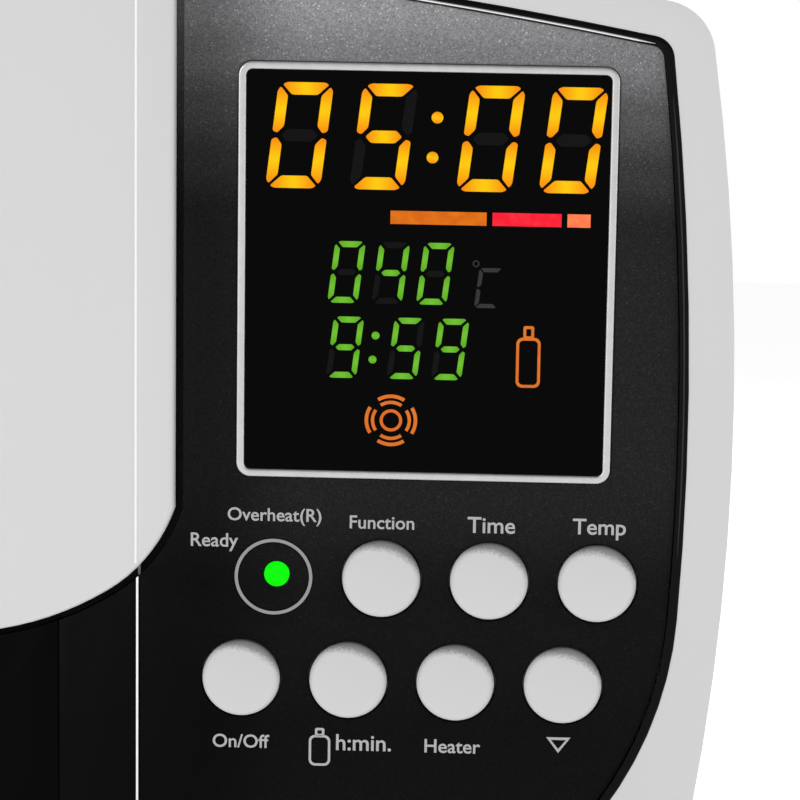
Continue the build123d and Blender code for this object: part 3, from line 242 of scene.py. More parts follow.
def lamp(paint, colour, strength):
    """Finishes a material that gives light of a colour from a dark plate."""
    paint.feed(colour, "Emission Color")
    paint.feed(paint.span(paint.noise(LAMP_GRAIN), *LAMP_ROUGH), "Roughness")
    paint.set(Emission_Strength=strength, Specular_IOR_Level=LAMP_GLOSS, Base_Color=(*grey(LAMP_BLACK), 1.0))
    return paint.mat


def glow(name, low, high, strength):
    """Lit shape: its colour wanders between two tones."""
    paint = Paint(name)
    return lamp(paint, paint.ramp(paint.noise(GLOW_SCALE), low, high, 0.35, 0.65), strength)


def segment_glow(name, middle, ends, strength):
    """Lit segment that is palest at its middle; its mesh says how far along each vertex is."""
    paint = Paint(name)
    along = paint.node("ShaderNodeAttribute", attribute_name="along")
    return lamp(paint, paint.ramp(along.outputs["Fac"], middle, ends, 0.1, 0.95), strength)


def clear(name, colour, rough, alpha):
    """Tinted clear plastic."""
    paint = Paint(name)
    paint.feed(paint.ramp(paint.noise(20.0), tuple(c * 0.9 for c in colour), colour), "Base Color")
    paint.feed(paint.span(paint.noise(40.0), rough, rough * 2), "Roughness")
    paint.set(Alpha=alpha, IOR=1.49)
    return paint.mat


RIM_SHADE_GRAIN, RIM_SHADE_SPREAD = 2500.0, 0.22  # the edge of the painted shade on the key rims is as ragged as its noise
RIM_SHADE_START, RIM_SHADE_TONE = 0.84, 0.45


def shaded_rim_key(name, *looks):
    """Moulded key plastic with painted shade: greyed towards the rim where the mesh says so."""
    paint = moulded_paint(name, *looks)
    plain = paint.shader.inputs["Base Color"].links[0].from_socket
    rim_shade = paint.node("ShaderNodeAttribute", attribute_name="rim_shade")
    ragged = paint.node("ShaderNodeMath", operation="MULTIPLY_ADD")
    paint.link(paint.noise(RIM_SHADE_GRAIN), ragged.inputs[0])
    ragged.inputs[1].default_value = RIM_SHADE_SPREAD
    paint.link(rim_shade.outputs["Fac"], ragged.inputs[2])
    rim_shading = paint.ramp(ragged.outputs["Value"], grey(1.0), grey(RIM_SHADE_TONE), RIM_SHADE_START, 1.0)
    paint.feed(paint.product(plain, rim_shading), "Base Color")
    return paint.mat


EVEN_GRAIN = (500.0, 500.0, 500.0)
# name, colour, spread of tone, roughness, then scale and depth of the grain
MATERIALS = {
    "white_casing": moulded("casing_white", grey(0.63), 0.01, (0.4, 0.52)),
    "white_shield": moulded("shield_white", grey(0.66), 0.008, (0.34, 0.44), coat=0.05),
    "white_lid": moulded("lid_white", grey(0.6), 0.01, (0.36, 0.48)),
    # the keys' material greys their upper rims with painted shade
    "key_plastic": shaded_rim_key("key_grey_white", grey(0.62), 0.015, (0.42, 0.55), 2600.0, 0.00004),
    "dark_fascia": flake("fascia_flake", 1.0),
    "dark_center": flake("centre_flake", 0.9),
    "dark_insert": moulded("insert_black", (0.0012, 0.0012, 0.0013), 0.2, (0.3, 0.4), 900.0, gloss=0.03),
    "black_gasket": moulded("gasket_black", grey(0.0015), 0.1, (0.2, 0.3), 1200.0, gloss=0.08),
    "silver_trim": metal("bezel_silver", (0.6, 0.6, 0.605), (0.35, 0.45), EVEN_GRAIN),
    "black_lens": moulded(
        "lens_black", (0.0006, 0.0006, 0.0007), 0.15, (0.05, 0.09), 300.0, 0.000002, gloss=0.03
    ),
    "black_module": moulded("module_black", grey(0.012), 0.1, (0.45, 0.6)),
    "green_led": glow("led_green", (0.0, 0.9, 0.0), (0.0, 1.0, 0.0), 1.0),
    "circuit_board": moulded("board_green", (0.01, 0.09, 0.035), 0.15, (0.3, 0.45), 800.0),
    "zinc_plate": metal("zinc_plated", (0.62, 0.63, 0.65), (0.32, 0.5), (160.0, 160.0, 160.0)),
    "dark_components": moulded("component_dark", (0.02, 0.025, 0.05), 0.2, (0.4, 0.6)),
    "stainless": metal("stainless_brushed", grey(0.62), (0.22, 0.38), (900.0, 6.0, 6.0)),
    "stainless_wire": metal("stainless_bright", grey(0.68), (0.14, 0.24), (300.0, 300.0, 300.0)),
    "grey_silicone": moulded("silicone_grey", (0.12, 0.12, 0.125), 0.06, (0.6, 0.75)),
    "black_rubber": moulded("rubber_black", grey(0.012), 0.15, (0.65, 0.85), 700.0, 0.00008),
    "white_nylon": moulded("nylon_white", (0.6, 0.6, 0.56), 0.03, (0.45, 0.6)),
    "orange_silicone": moulded("silicone_orange", (0.5, 0.13, 0.03), 0.06, (0.55, 0.7)),
    "brass_valve": metal("valve_nickel_brass", (0.6, 0.52, 0.36), (0.25, 0.4), (300.0, 300.0, 300.0)),
    "red_lever": moulded("lever_red", (0.42, 0.02, 0.015), 0.08, (0.3, 0.42), coat=0.4),
    "smoked_window": clear("window_smoked", (0.05, 0.052, 0.055), 0.04, 0.62),
    "grey_lead": moulded("lead_grey", grey(0.3), 0.05, (0.5, 0.65)),
    "black_lead": moulded("lead_black", grey(0.012), 0.1, (0.5, 0.65)),
}
NODE_MATERIALS = {
    # painted highlight: bright metal for the trims along the creases below the shield and for the gasket's top
    # rib
    "crease_trims": metal("crease_highlight_metal", grey(0.9), (0.25, 0.35), EVEN_GRAIN),
    "status_led_ring": metal("ring_grey", (0.32, 0.32, 0.325), (0.35, 0.45), EVEN_GRAIN),
}
SLOT_OF = {entry["node"]: entry["material_slot"] for entry in record["subparts"]}
for name, obj in nodes.items():
    obj.data.materials.clear()
    obj.data.materials.append(NODE_MATERIALS.get(name, MATERIALS[SLOT_OF[name]]))

# ---------------------------------------------------------------- mesh helpers
MERGE, FINE_MERGE = 1e-6, 1e-7  # m
FLAT_ANGLE, SMOOTH_ANGLE = 0.6, 30.0  # degrees


def add_object(name, mesh, material, body="housing"):
    """Puts a finished mesh in the scene, on its body."""
    obj = bpy.data.objects.new(name, mesh)
    bpy.context.scene.collection.objects.link(obj)
    mesh.materials.clear()
    mesh.materials.append(material)
    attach(obj, body)
    return obj


def sharp(edge, angle):
    """True for an edge between two faces that turn by more than the angle, in degrees."""
    return len(edge.link_faces) == 2 and edge.calc_face_angle(0) > radians(angle)


def smooth(mesh, angle):
    """Shades smooth, apart from edges sharper than the angle."""
    mesh.shade_smooth()
    bm = bmesh.new()
    bm.from_mesh(mesh)
    for edge in bm.edges:
        edge.smooth = not sharp(edge, angle)
    bm.to_mesh(mesh)
    bm.free()


def closed_mesh(bm, name):
    """A mesh from a closed surface, its faces turned outwards."""
    bmesh.ops.recalc_face_normals(bm, faces=bm.faces)
    mesh = bpy.data.meshes.new(name)
    bm.to_mesh(mesh)
    bm.free()
    return mesh


def softened(name, width, segments, angle=40.0, only=None):
    """A copy of a CAD node with its sharp edges rounded by a width in mm, in the node's place."""
    mesh = nodes[name].data.copy()
    mesh.name = name + "_soft"
    bm = bmesh.new()
    bm.from_mesh(mesh)
    bmesh.ops.remove_doubles(bm, verts=bm.verts, dist=MERGE)
    bmesh.ops.dissolve_limit(bm, angle_limit=radians(FLAT_ANGLE), verts=bm.verts, edges=bm.edges)
    edges = [e for e in bm.edges if sharp(e, angle) and (only is None or only(e))]
    bmesh.ops.bevel(
        bm, geom=edges, offset=width * MM, segments=segments, profile=0.5, affect="EDGES", clamp_overlap=True
    )
    bmesh.ops.triangulate(bm, faces=[f for f in bm.faces if len(f.verts) > 4])
    bm.to_mesh(mesh)
    bm.free()
    smooth(mesh, SMOOTH_ANGLE)
    slot = SLOT_OF[name]
    body = next(b for b, members in record["behaviour"]["bodies"].items() if name in members)
    obj = add_object(name + "_soft", mesh, MATERIALS[slot], body)
    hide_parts(name)
    return obj


FRONT_FACING = 0.985  # cosine of the most that a face of the folded front turns from its middle


def front_edge(edge):
    """True for an edge between the front and a side."""
    return sum(face.normal.dot(OUT_FRONT) > FRONT_FACING for face in edge.link_faces) == 1


def divided(outline, step):
    """An outline with its long runs divided."""
    points = []
    for at, after in zip(outline, outline[1:] + outline[:1]):
        run = sqrt((after[0] - at[0]) ** 2 + (after[1] - at[1]) ** 2)
        count = max(1, int(run / step))
        points += [tuple(at[k] + (after[k] - at[k]) * i / count for k in (0, 1)) for i in range(count)]
    return points


LIT_PLATE, UNLIT_PLATE, UNIT_PLATE, PRINT_PLATE = 0.05, 0.03, 0.04, 0.03  # thicknesses, mm


def plates(shapes, thickness, fan=False):
    """Thin closed plates from outlines in mm, standing out from z = 0.

    Each vertex keeps how far it is from its plate's middle, along the longer side. With fan, the
    top is triangles round a vertex in the middle, so that the colour can change across it.
    """
    bm = bmesh.new()
    along = bm.verts.layers.float.new("along")
    for outline in shapes:
        xs, ys = [p[0] for p in outline], [p[1] for p in outline]
        wide, tall = max(xs) - min(xs), max(ys) - min(ys)
        flat = wide > tall
        middle = (max(xs) + min(xs)) / 2 if flat else (max(ys) + min(ys)) / 2
        rings = []
        for z in (0.0, thickness):
            ring = []
            for x, y in outline:
                vert = bm.verts.new((x * MM, y * MM, z * MM))
                vert[along] = abs((x if flat else y) - middle) / (max(wide, tall) / 2)
                ring.append(vert)
            rings.append(ring)
        under, over = rings
        bm.faces.new(list(reversed(under)))
        count = len(outline)
        if fan:
            hub = bm.verts.new((sum(xs) / count * MM, sum(ys) / count * MM, thickness * MM))
        else:
            bm.faces.new(over)
        for i in range(count):
            j = (i + 1) % count
            bm.faces.new((under[i], under[j], over[j], over[i]))
            if fan:
                bm.faces.new((over[i], over[j], hub))
    return closed_mesh(bm, "plates")


def on_console(name, mesh, material, depth):
    """Lays a flat mesh on the console at a depth in mm, its own z pointing out."""
    mesh.transform(Matrix.Translation(console(0, 0, -depth)) @ CONSOLE_TURN)
    mesh.name = name
    return add_object(name, mesh, material)


RING_STEPS, DISC_STEPS, CORNER_STEPS = 48, 32, 6


def disc(x, y, radius):
    """Outline of a disc."""
    angles = [2 * pi * i / DISC_STEPS for i in range(DISC_STEPS)]
    return [(x + radius * cos(a), y + radius * sin(a)) for a in angles]


def ring_shape(x, y, outer, inner, start=0.0, end=360.0):
    """Outline of a ring's arc, or of a whole ring as one closed band with a seam."""
    count = max(4, int(RING_STEPS * (end - start) / 360))
    angles = [radians(start + (end - start) * i / count) for i in range(count + 1)]
    outside = [(x + outer * cos(a), y + outer * sin(a)) for a in angles]
    inside = [(x + inner * cos(a), y + inner * sin(a)) for a in reversed(angles)]
    return outside + inside


def rectangle(left, low, right, high):
    """Outline of a rectangle."""
    return [(left, low), (right, low), (right, high), (left, high)]


def rounded_rectangle(x, y, width, height, radius):
    """Outline of a rounded rectangle about a centre."""
    points = []
    for sx, sy, start in ((1, 1, 0), (-1, 1, 90), (-1, -1, 180), (1, -1, 270)):
        cx, cy = x + sx * (width / 2 - radius), y + sy * (height / 2 - radius)
        for i in range(CORNER_STEPS + 1):
            a = radians(start + 90 * i / CORNER_STEPS)
            points.append((cx + radius * cos(a), cy + radius * sin(a)))
    return points


def band(outline, inner):
    """A closed band between two outlines with the same number of points."""
    return outline + [outline[0]] + [inner[0]] + list(reversed(inner))


BODY_RADIUS, NECK_RADIUS, NECK_RADIUS_IN = 1.15, 0.4, 0.2  # mm


def bottle(x, low, width, height, neck_width, neck_height, line):
    """Outline drawing of a bottle: a rounded body and a neck."""
    middle = low + height / 2
    body = rounded_rectangle(x, middle, width, height, BODY_RADIUS)
    body_in = rounded_rectangle(x, middle, width - 2 * line, height - 2 * line, BODY_RADIUS - line * 0.8)
    neck_y = low + height + neck_height / 2 - line / 2
    neck = rounded_rectangle(x, neck_y, neck_width, neck_height, NECK_RADIUS)
    neck_in = rounded_rectangle(x, neck_y, neck_width - 2 * line, neck_height - 2 * line, NECK_RADIUS_IN)
    return [band(body, body_in), band(neck, neck_in)]


# ---------------------------------------------------------------- casing, shield and fascias
softened("casing", width=2.6, segments=5, angle=25.0, only=front_edge)
softened("front_shield", width=0.9, segments=4)
for name in ("control_fascia", "left_fascia", "center_fascia", "front_grille", "fascia_gasket"):
    softened(name, width=0.3, segments=2)
softened("display_bezel", width=0.35, segments=3)
softened("base_plate", width=0.3, segments=2)
softened("power_inlet", width=0.5, segments=2)
softened("fan_guard", width=0.4, segments=2)
softened("lid_handle", width=2.0, segments=4)

# the window's lip hangs a little clear of the lid's underside, whose facets would cut through it
DECK_R, LIP_HEIGHT, LIP_DROP, LIP_MATCH = 988.0 * MM, 27.0 * MM, 0.35 * MM, 0.5 * MM
deck_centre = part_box("casing")[1][2] - DECK_R
window = softened("lid_window", width=0.25, segments=2)
for vert in window.data.vertices:
    height = sqrt(vert.co.x**2 + (vert.co.z - deck_centre) ** 2) - DECK_R
    if abs(height - LIP_HEIGHT) < LIP_MATCH:
        vert.co.z -= LIP_DROP

# ---------------------------------------------------------------- keys, mm
KEY_RADIUS, KEY_DOME, KEY_PROUD, KEY_RIM = 7.15, 0.55, 1.1, 1.3
FLANGE_RADIUS, FLANGE_TOP, FLANGE_FOOT = KEY_RADIUS + 1.4, -4.9, -6.2
STEM_RADIUS, STEM_FOOT = 2.0, -9.6
DOME_RINGS, RIM_RINGS, KEY_STEPS, KEY_SMOOTH = 12, 6, 72, 40.0
SHADED_SIDE_HEADING = radians(70)  # the side of each cap that is greyed by painted shade
RIM_SHADE_ROUND = 0.55  # how deep the painted rim shade is a quarter turn from there; it is 1 there
KEY_ROWS = {"upper": (-27.1, -56.8), "lower": (-32.95, -76.2)}  # place of a row's first key
KEY_PITCH = 19.78
KEYS = {
    "key_function": ("upper", 1),
    "key_time": ("upper", 2),
    "key_temp": ("upper", 3),
    "key_on_off": ("lower", 0),
    "key_bottle_time": ("lower", 1),
    "key_heater": ("lower", 2),
    "key_down": ("lower", 3),
}


def key_profile():
    """Radius and height of a cap's rings: dome, rounded rim, flange behind the fascia, stem."""
    profile = [(0.0, KEY_PROUD)]
    for i in range(1, DOME_RINGS + 1):
        r = (KEY_RADIUS - KEY_RIM) * i / DOME_RINGS
        profile.append((r, KEY_PROUD - KEY_DOME * (r / KEY_RADIUS) ** 2))
    edge_z = profile[-1][1]
    for i in range(1, RIM_RINGS + 1):
        a = radians(90 / RIM_RINGS * i)
        profile.append((KEY_RADIUS - KEY_RIM + KEY_RIM * sin(a), edge_z - KEY_RIM * (1 - cos(a))))
    profile += [(KEY_RADIUS, FLANGE_TOP), (FLANGE_RADIUS, FLANGE_TOP), (FLANGE_RADIUS, FLANGE_FOOT)]
    return profile + [(STEM_RADIUS, FLANGE_FOOT), (STEM_RADIUS, STEM_FOOT), (0.0, STEM_FOOT)]


def key_cap(name, row, column):
    """A lightly domed cap; each vertex keeps how much painted shade its rim takes."""
    bm = bmesh.new()
    rim_shade = bm.verts.layers.float.new("rim_shade")
    rings = []
    for r, z in key_profile():
        if r == 0:
            rings.append([bm.verts.new((0, 0, z * MM))])
            continue
        ring = []
        for i in range(KEY_STEPS):
            a = 2 * pi * i / KEY_STEPS
            vert = bm.verts.new((r * cos(a) * MM, r * sin(a) * MM, z * MM))
            rim_shading = RIM_SHADE_ROUND + (1 - RIM_SHADE_ROUND) * cos(a - SHADED_SIDE_HEADING)
            vert[rim_shade] = max(0.0, (r / KEY_RADIUS) * rim_shading)
            ring.append(vert)
        rings.append(ring)
    for a, b in zip(rings, rings[1:]):
        for i in range(KEY_STEPS):
            j = (i + 1) % KEY_STEPS
            corners = [a[i % len(a)], b[i % len(b)], b[j % len(b)], a[j % len(a)]]
            bm.faces.new(list(dict.fromkeys(corners)))
    mesh = closed_mesh(bm, name + "_cap")
    u, v = KEY_ROWS[row]
    mesh.transform(Matrix.Translation(console(u + KEY_PITCH * column, v)) @ CONSOLE_TURN)
    smooth(mesh, KEY_SMOOTH)
    obj = add_object(name + "_cap", mesh, MATERIALS["key_plastic"], name)
    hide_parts(name)


for name, where in KEYS.items():
    key_cap(name, *where)

# ---------------------------------------------------------------- the display's lit and unlit segments
DIGIT_SLANT = tan(radians(7))
CORNER_CUT = 0.15  # as a share of a bar's thickness
LEAN_SHARE, WAIST_SHARE, END_SHARE = 0.45, 0.5, 0.35  # of side, gap and flat, in a segment's mitres
OUTLINE_STEP = 1.0  # mm
SEGMENTS = {"0": "abcdef", "4": "bcfg", "5": "acdfg", "9": "abcdfg"}


def segment_outlines(width, height, flat, side, gap):
    """The seven mitred segments of a digit, from its lower left corner, before it is slanted.

    flat and side are how thick its level and upright segments are, and gap is the space between.
    """
    half = height / 2
    lean, waist, cut = side * LEAN_SHARE, gap * WAIST_SHARE, flat * END_SHARE
    left, right = gap, width - gap
    top = [
        (left + cut, height),
        (right - cut, height),
        (right, height - cut / 2),
        (right - flat + cut / 2, height - flat),
        (left + flat - cut / 2, height - flat),
        (left, height - cut / 2),
    ]
    upper = [
        (cut * 0.6, height - gap),
        (side, height - side - gap + cut * 0.4),
        (side, half + gap + lean),
        (lean, half + waist),
        (0, half + gap),
        (0, height - gap - cut),
    ]
    outlines = {"a": top, "f": upper}
    outlines["d"] = [(x, height - y) for x, y in reversed(top)]
    outlines["e"] = [(x, height - y) for x, y in reversed(upper)]
    outlines["b"] = [(width - x, y) for x, y in reversed(outlines["f"])]
    outlines["c"] = [(width - x, y) for x, y in reversed(outlines["e"])]
    start, end, slope = lean + gap, width - lean - gap, flat / 2
    outlines["g"] = [
        (start, half),
        (start + slope, half + slope),
        (end - slope, half + slope),
        (end, half),
        (end - slope, half - slope),
        (start + slope, half - slope),
    ]
    return outlines


def slanted(outline, x, y):
    """An outline moved to its place and leant like the digits."""
    return [(x + px + py * DIGIT_SLANT, y + py) for px, py in outline]


def eased(outline, cut):
    """An outline with its corners cut twice, so that they look rounded."""
    points = []
    for before, at, after in zip(outline[-1:] + outline[:-1], outline, outline[1:] + outline[:1]):
        ends = []
        for other in (before, after):
            run = max(1e-6, sqrt((other[0] - at[0]) ** 2 + (other[1] - at[1]) ** 2))
            share = min(cut / run, 0.4)
            ends.append((at[0] + (other[0] - at[0]) * share, at[1] + (other[1] - at[1]) * share))
        middle = tuple((ends[0][k] + ends[1][k]) / 4 + at[k] / 2 for k in (0, 1))
        points += [ends[0], middle, ends[1]]
    return points


def digits(name, text, places, base, size, lit):
    """A row of digits: one piece of all lit segments and one of the unlit ones."""
    shapes_lit, shapes_unlit = [], []
    for character, x in zip(text, places):
        for letter, outline in segment_outlines(*size).items():
            target = shapes_lit if letter in SEGMENTS[character] else shapes_unlit
            rounded = divided(eased(outline, CORNER_CUT * size[2]), OUTLINE_STEP)
            target.append(slanted(rounded, x, base))
    on_console(name + "_lit", plates(shapes_lit, LIT_PLATE, True), lit, LENS_DEPTH)
    on_console(name + "_unlit", plates(shapes_unlit, UNLIT_PLATE), UNLIT, LENS_DEPTH)


def lit_piece(name, shapes, material):
    """A lit shape behind the lens."""
    on_console(name, plates(shapes, LIT_PLATE), material, LENS_DEPTH)


ORANGE = segment_glow("digit_orange", (1.0, 0.58, 0.0), (0.95, 0.27, 0.0), 1.0)
GREEN = segment_glow("digit_green", (0.16, 0.52, 0.03), (0.1, 0.4, 0.012), 1.0)
UNLIT = moulded("digit_unlit", grey(0.0065), 0.1, (0.35, 0.5), gloss=0.03)
ICON = glow("icon_orange", (0.95, 0.2, 0.02), (1.0, 0.25, 0.03), 0.75)
BAR_ORANGE = glow("bar_orange", (0.68, 0.13, 0.003), (0.78, 0.18, 0.006), 1.0)
BAR_RED = glow("bar_red", (0.94, 0.008, 0.03), (1.0, 0.025, 0.05), 1.0)
BAR_LIGHT = glow("bar_light_red", (1.0, 0.16, 0.07), (1.0, 0.25, 0.08), 1.0)
DIM_GREY = moulded("unit_unlit", grey(0.036), 0.1, (0.4, 0.5), gloss=0.05)
LEGEND = moulded("legend_grey", grey(0.43), 0.06, (0.45, 0.6), gloss=0.1)

# width, height, thickness of level and upright segments, gap
BIG, SMALL = (9.9, 19.1, 2.25, 1.95, 0.78), (5.5, 11.3, 1.1, 1.0, 0.58)
digits("clock_digits", "0500", (-29.2, -14.1, 5.1, 19.9), 15.2, BIG, ORANGE)
digits("degree_digits", "040", (-17.8, -9.8, -1.75), -5.55, SMALL, GREEN)
digits("timer_digits", "959", (-17.9, -6.9, 1.15), -19.35, SMALL, GREEN)
lit_piece("clock_colon", [disc(1.6, 28.4, 1.05), disc(0.83, 21.2, 1.05)], ORANGE)
lit_piece("timer_colon", [disc(-8.95, -11.44, 0.72), disc(-9.44, -15.87, 0.72)], GREEN)

BAR_LOW, BAR_HIGH = 9.05, 11.45
lit_piece("level_bar_orange", [rectangle(-6.56, BAR_LOW, 10.73, BAR_HIGH)], BAR_ORANGE)
lit_piece("level_bar_red", [rectangle(11.8, BAR_LOW, 24.2, BAR_HIGH)], BAR_RED)
lit_piece("level_bar_end", [rectangle(25.25, BAR_LOW, 29.4, BAR_HIGH)], BAR_LIGHT)

UNIT_SIZE, UNIT_PLACE = (4.2, 7.3, 0.75, 0.75, 0.3), (8.75, -5.95)
unit = segment_outlines(*UNIT_SIZE)
unit_shapes = [slanted(unit[letter], *UNIT_PLACE) for letter in "afed"]
unit_shapes += [ring_shape(9.0, 2.1, 0.62, 0.38)]
on_console("degree_unit_unlit", plates(unit_shapes, UNIT_PLATE), DIM_GREY, LENS_DEPTH)

WAVE_CENTRE = (-5.95, -27.05)
WAVES = ((3.65, 3.05, 34), (4.8, 4.15, 32))  # outer and inner radius, degrees to each side
wave = [ring_shape(*WAVE_CENTRE, 2.05, 1.5)]
for heading in (0, 90, 180, 270):
    for outer, inner, spread in WAVES:
        wave.append(ring_shape(*WAVE_CENTRE, outer, inner, heading - spread, heading + spread))
lit_piece("circulation_icon", wave, ICON)
lit_piece("bottle_icon", bottle(18.75, -20.45, 4.4, 9.2, 1.95, 2.4, 0.52), ICON)

# ---------------------------------------------------------------- printed legends
TEXT_EXTRUDE, TEXT_WEIGHT, TEXT_STEPS = 0.02, 0.012, 4  # in the font's own units


def legend(name, words, centre, width):
    """Printed words on the fascia, scaled to a width in mm."""
    curve = bpy.data.curves.new(name, "FONT")
    curve.body = words
    curve.align_x = "CENTER"
    curve.align_y = "CENTER"
    curve.extrude = TEXT_EXTRUDE
    curve.offset = TEXT_WEIGHT
    curve.resolution_u = TEXT_STEPS
    holder = bpy.data.objects.new(name, curve)
    bpy.context.scene.collection.objects.link(holder)
    bpy.context.view_layer.update()
    mesh = bpy.data.meshes.new_from_object(holder.evaluated_get(bpy.context.evaluated_depsgraph_get()))
    bpy.data.objects.remove(holder)
    bpy.data.curves.remove(curve)
    xs = [v.co.x for v in mesh.vertices]
    ys = [v.co.y for v in mesh.vertices]
    scale = width / (max(xs) - min(xs))
    middle_x, middle_y = (max(xs) + min(xs)) / 2, (max(ys) + min(ys)) / 2
    for v in mesh.vertices:
        x = (v.co.x - middle_x) * scale + centre[0]
        y = (v.co.y - middle_y) * scale + centre[1]
        z = (v.co.z + TEXT_EXTRUDE) / (2 * TEXT_EXTRUDE) * PRINT_PLATE
        v.co = Vector((x, y, z)) * MM
    bm = bmesh.new()
    bm.from_mesh(mesh)
    bmesh.ops.remove_doubles(bm, verts=bm.verts, dist=FINE_MERGE)
    bm.to_mesh(mesh)
    bm.free()
    on_console(name, mesh, LEGEND, FASCIA_DEPTH)


legend("legend_overheat", "Overheat(R)", (-27.0, -45.5), 17.2)
legend("legend_ready", "Ready", (-38.0, -50.5), 8.7)
legend("legend_function", "Function", (-7.3, -46.15), 11.8)
legend("legend_time", "Time", (12.7, -46.2), 8.7)
legend("legend_temp", "Temp", (32.4, -46.5), 9.7)
legend("legend_on_off", "On/Off", (-32.9, -88.3), 10.5)
legend("legend_minutes", "h:min.", (-10.15, -88.1), 10.2)
legend("legend_heater", "Heater", (6.3, -88.35), 10.3)
small_bottle = bottle(-18.3, -92.7, 4.0, 5.9, 1.75, 1.6, 0.45)
on_console("legend_bottle", plates(small_bottle, PRINT_PLATE), LEGEND, FASCIA_DEPTH)
triangle = [(23.6, -86.1), (28.1, -86.1), (25.85, -89.1)]
triangle_in = [(24.45, -86.6), (27.25, -86.6), (25.85, -88.35)]
on_console("legend_down", plates([band(triangle, triangle_in)], PRINT_PLATE), LEGEND, FASCIA_DEPTH)

# ---------------------------------------------------------------- fine beads on the front, mm
BEAD_STEPS, BEAD_SMOOTH = 12, 50.0
CREASE_TO_DISPLAY = 52.2
FRONT_MIDDLE = Vector((0, CENTRE.y, CENTRE.z)) - Vector((0, ACROSS.y, ACROSS.z)) * CREASE_TO_DISPLAY * MM


def on_front(x, v, out):
    """A point on the folded front, in mm from its middle, up it and out from it."""
    behind_crease = max(0.0, abs(x) - CREASE_X) * tan(FOLD)
    return FRONT_MIDDLE + (Vector((x, 0, 0)) + UP * v + OUT_FRONT * (out - behind_crease)) * MM


def bead(name, points, radii, material):
    """A fine round bead along points on the front, each with its radius."""
    bm = bmesh.new()
    rings = []
    for index, (point, radius) in enumerate(zip(points, radii)):
        before, after = points[max(0, index - 1)], points[min(len(points) - 1, index + 1)]
        along = (on_front(*after) - on_front(*before)).normalized()
        side = along.cross(OUT_FRONT).normalized()
        centre = on_front(*point)
        ring = []
        for k in range(BEAD_STEPS):
            a = 2 * pi * k / BEAD_STEPS
            ring.append(bm.verts.new(centre + (side * cos(a) + OUT_FRONT * sin(a)) * radius * MM))
        rings.append(ring)
    for a, b in zip(rings, rings[1:]):
        for k in range(BEAD_STEPS):
            m = (k + 1) % BEAD_STEPS
            bm.faces.new((a[k], a[m], b[m], b[k]))
    bm.faces.new(rings[0])
    bm.faces.new(list(reversed(rings[-1])))
    mesh = closed_mesh(bm, name)
    smooth(mesh, BEAD_SMOOTH)
    add_object(name, mesh, material, "housing")


# creases along the shield: beads whiter than the shield, a painted highlight along each fold
CREASE_LOW, CREASE_HIGH, CREASE_OUT, CREASE_R = -54.5, 61.0, 1.12, 0.28
CREASE_HIGHLIGHT = moulded("crease_white", grey(0.92), 0.01, (0.3, 0.4))
# the gasket's bright rib under the arch, a bright metal bead that stands in for the highlight where the top
# light falls (painted highlight): the fascia's arch drawn in by the rib's place across the gasket
RIB_INSET, RIB_R, RIB_OUT, RIB_TAPER, RIB_TIP = 1.3, 0.24, 0.22, 4.0, 0.15
ARCH_TOP, ARCH_R = 61.2 - RIB_INSET, 980.0 - RIB_INSET
RIB_START, RIB_END, RIB_COUNT = 100.6, 184.0, 48
# its dull rib down the side, a dark metal bead for the fainter highlight there (painted highlight), drawn in the
# same way
SIDE_INSET, SIDE_RIB_R, SIDE_RIB_OUT = 0.85, 0.2, 0.16
SIDE_HALF, SIDE_R, SIDE_WIDEST = 191.8 - SIDE_INSET, 560.0 - SIDE_INSET, -30.0
SIDE_LOW, SIDE_HIGH, SIDE_COUNT = -58.0, 40.0, 32
SIDE_TIP, SIDE_TAPER = 0.2, 4.0
SIDE_RIB_HIGHLIGHT = metal("side_rib_dim_highlight", (0.035, 0.035, 0.036), (0.3, 0.4), EVEN_GRAIN)
for side, word in ((-1, "left"), (1, "right")):
    crease = [(side * CREASE_X, v, CREASE_OUT) for v in (CREASE_LOW, CREASE_HIGH)]
    bead("shield_crease_highlight_" + word, crease, (CREASE_R, CREASE_R), CREASE_HIGHLIGHT)
    rib, radii = [], []
    for index in range(RIB_COUNT + 1):
        x = RIB_START + (RIB_END - RIB_START) * index / RIB_COUNT
        rib.append((side * x, ARCH_TOP - ARCH_R + sqrt(ARCH_R**2 - x**2), RIB_OUT))
        radii.append(RIB_R * min(1.0, RIB_TIP + (RIB_END - x) / RIB_TAPER))
    bead("gasket_highlight_rib_" + word, rib, radii, NODE_MATERIALS["crease_trims"])
    rib, radii = [], []
    for index in range(SIDE_COUNT + 1):
        v = SIDE_LOW + (SIDE_HIGH - SIDE_LOW) * index / SIDE_COUNT
        x = SIDE_HALF - SIDE_R + sqrt(SIDE_R**2 - (v - SIDE_WIDEST) ** 2)
        rib.append((side * x, v, SIDE_RIB_OUT))
        from_end = min(index, SIDE_COUNT - index) / SIDE_COUNT
        radii.append(SIDE_RIB_R * min(1.0, SIDE_TIP + SIDE_TAPER * from_end))
    bead("gasket_side_highlight_rib_" + word, rib, radii, SIDE_RIB_HIGHLIGHT)

# ---------------------------------------------------------------- camera
CAMERA_FROM_CENTRE = Vector((75.6, -656.2, 16.7))  # mm
AZIMUTH, ELEVATION, ROLL = radians(7.04), radians(11.36), radians(0.86)  # seen square to the front
LENS, SENSOR, NEAR = 164.9, 36.0, 0.01

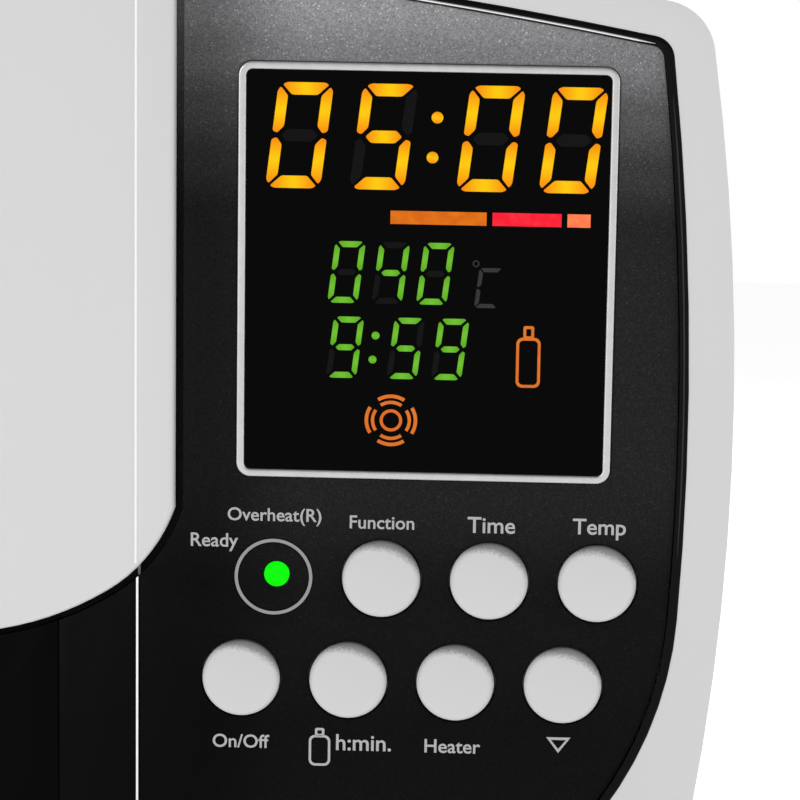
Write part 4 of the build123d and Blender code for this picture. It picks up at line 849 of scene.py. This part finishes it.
ahead = Vector((-sin(AZIMUTH) * cos(ELEVATION), cos(AZIMUTH) * cos(ELEVATION), -sin(ELEVATION)))
right = ahead.cross(Vector((0, 0, 1))).normalized()
above = right.cross(ahead)
right, above = right * cos(ROLL) + above * sin(ROLL), above * cos(ROLL) - right * sin(ROLL)
square_to_front = Matrix((Vector((1, 0, 0)), -OUT_FRONT, UP)).transposed()
turn = (square_to_front @ Matrix((right, above, -ahead)).transposed()).to_4x4()
lens = bpy.data.cameras.new("camera")
lens.lens = LENS
lens.sensor_width = SENSOR
lens.clip_start = NEAR
camera = bpy.data.objects.new("camera", lens)
bpy.context.scene.collection.objects.link(camera)
camera.matrix_world = Matrix.Translation(CENTRE + CAMERA_FROM_CENTRE * MM) @ turn
bpy.context.scene.camera = camera

# ---------------------------------------------------------------- floor and light
FLOOR = 6.0
FLOOR_GLOW, FLOOR_GLOSS = 0.8, 0.1  # the floor gives light of its own, so that it stays white
corners = [(-FLOOR, -FLOOR, 0), (FLOOR, -FLOOR, 0), (FLOOR, FLOOR, 0), (-FLOOR, FLOOR, 0)]
floor_mesh = bpy.data.meshes.new("floor")
floor_mesh.from_pydata(corners, [], [(0, 1, 2, 3)])
floor = bpy.data.objects.new("floor", floor_mesh)
bpy.context.scene.collection.objects.link(floor)
pale = Paint("floor_pale")
pale.feed(pale.ramp(pale.noise(2.0), grey(0.42), grey(0.44)), "Base Color")
pale.feed(pale.span(pale.noise(6.0), 0.7, 0.8), "Roughness")
pale.set(Emission_Color=(1.0, 1.0, 1.0, 1.0), Emission_Strength=FLOOR_GLOW, Specular_IOR_Level=FLOOR_GLOSS)
floor_mesh.materials.append(pale.mat)

TARGET = Vector((0.0, -0.1, 0.12))
# name, place, width, height, watts
LIGHTS = [
    ("key", (-1.1, -1.6, 0.45), 0.8, 0.8, 10),
    ("fill", (1.5, -0.7, 0.35), 0.5, 0.8, 3),
    ("top", (0.1, 0.5, 1.65), 1.6, 1.2, 17),
    ("back", (-0.7, 1.8, 0.9), 1.0, 0.8, 9),
]
for name, place, width, height, power in LIGHTS:
    light = bpy.data.lights.new(name, "AREA")
    light.shape = "RECTANGLE"
    light.size = width
    light.size_y = height
    light.energy = power
    obj = bpy.data.objects.new(name, light)
    obj.location = place
    obj.rotation_euler = (TARGET - Vector(place)).to_track_quat("-Z", "Y").to_euler()
    bpy.context.scene.collection.objects.link(obj)

# what the eye sees behind the object is plain white; what lights it is dimmer
WORLD_SEEN, WORLD_LIGHT = 1.0, 0.36
world = bpy.data.worlds.new("studio")
bpy.context.scene.world = world
world.use_nodes = True
tree = world.node_tree
lighting = tree.nodes["Background"]
seen = tree.nodes.new("ShaderNodeBackground")
for background, strength in ((lighting, WORLD_LIGHT), (seen, WORLD_SEEN)):
    background.inputs["Color"].default_value = (1, 1, 1, 1)
    background.inputs["Strength"].default_value = strength
rays = tree.nodes.new("ShaderNodeLightPath")
choice = tree.nodes.new("ShaderNodeMixShader")
tree.links.new(rays.outputs["Is Camera Ray"], choice.inputs["Fac"])
tree.links.new(lighting.outputs["Background"], choice.inputs[1])
tree.links.new(seen.outputs["Background"], choice.inputs[2])
tree.links.new(choice.outputs["Shader"], tree.nodes["World Output"].inputs["Surface"])
bpy.context.scene.view_settings.view_transform = "Standard"
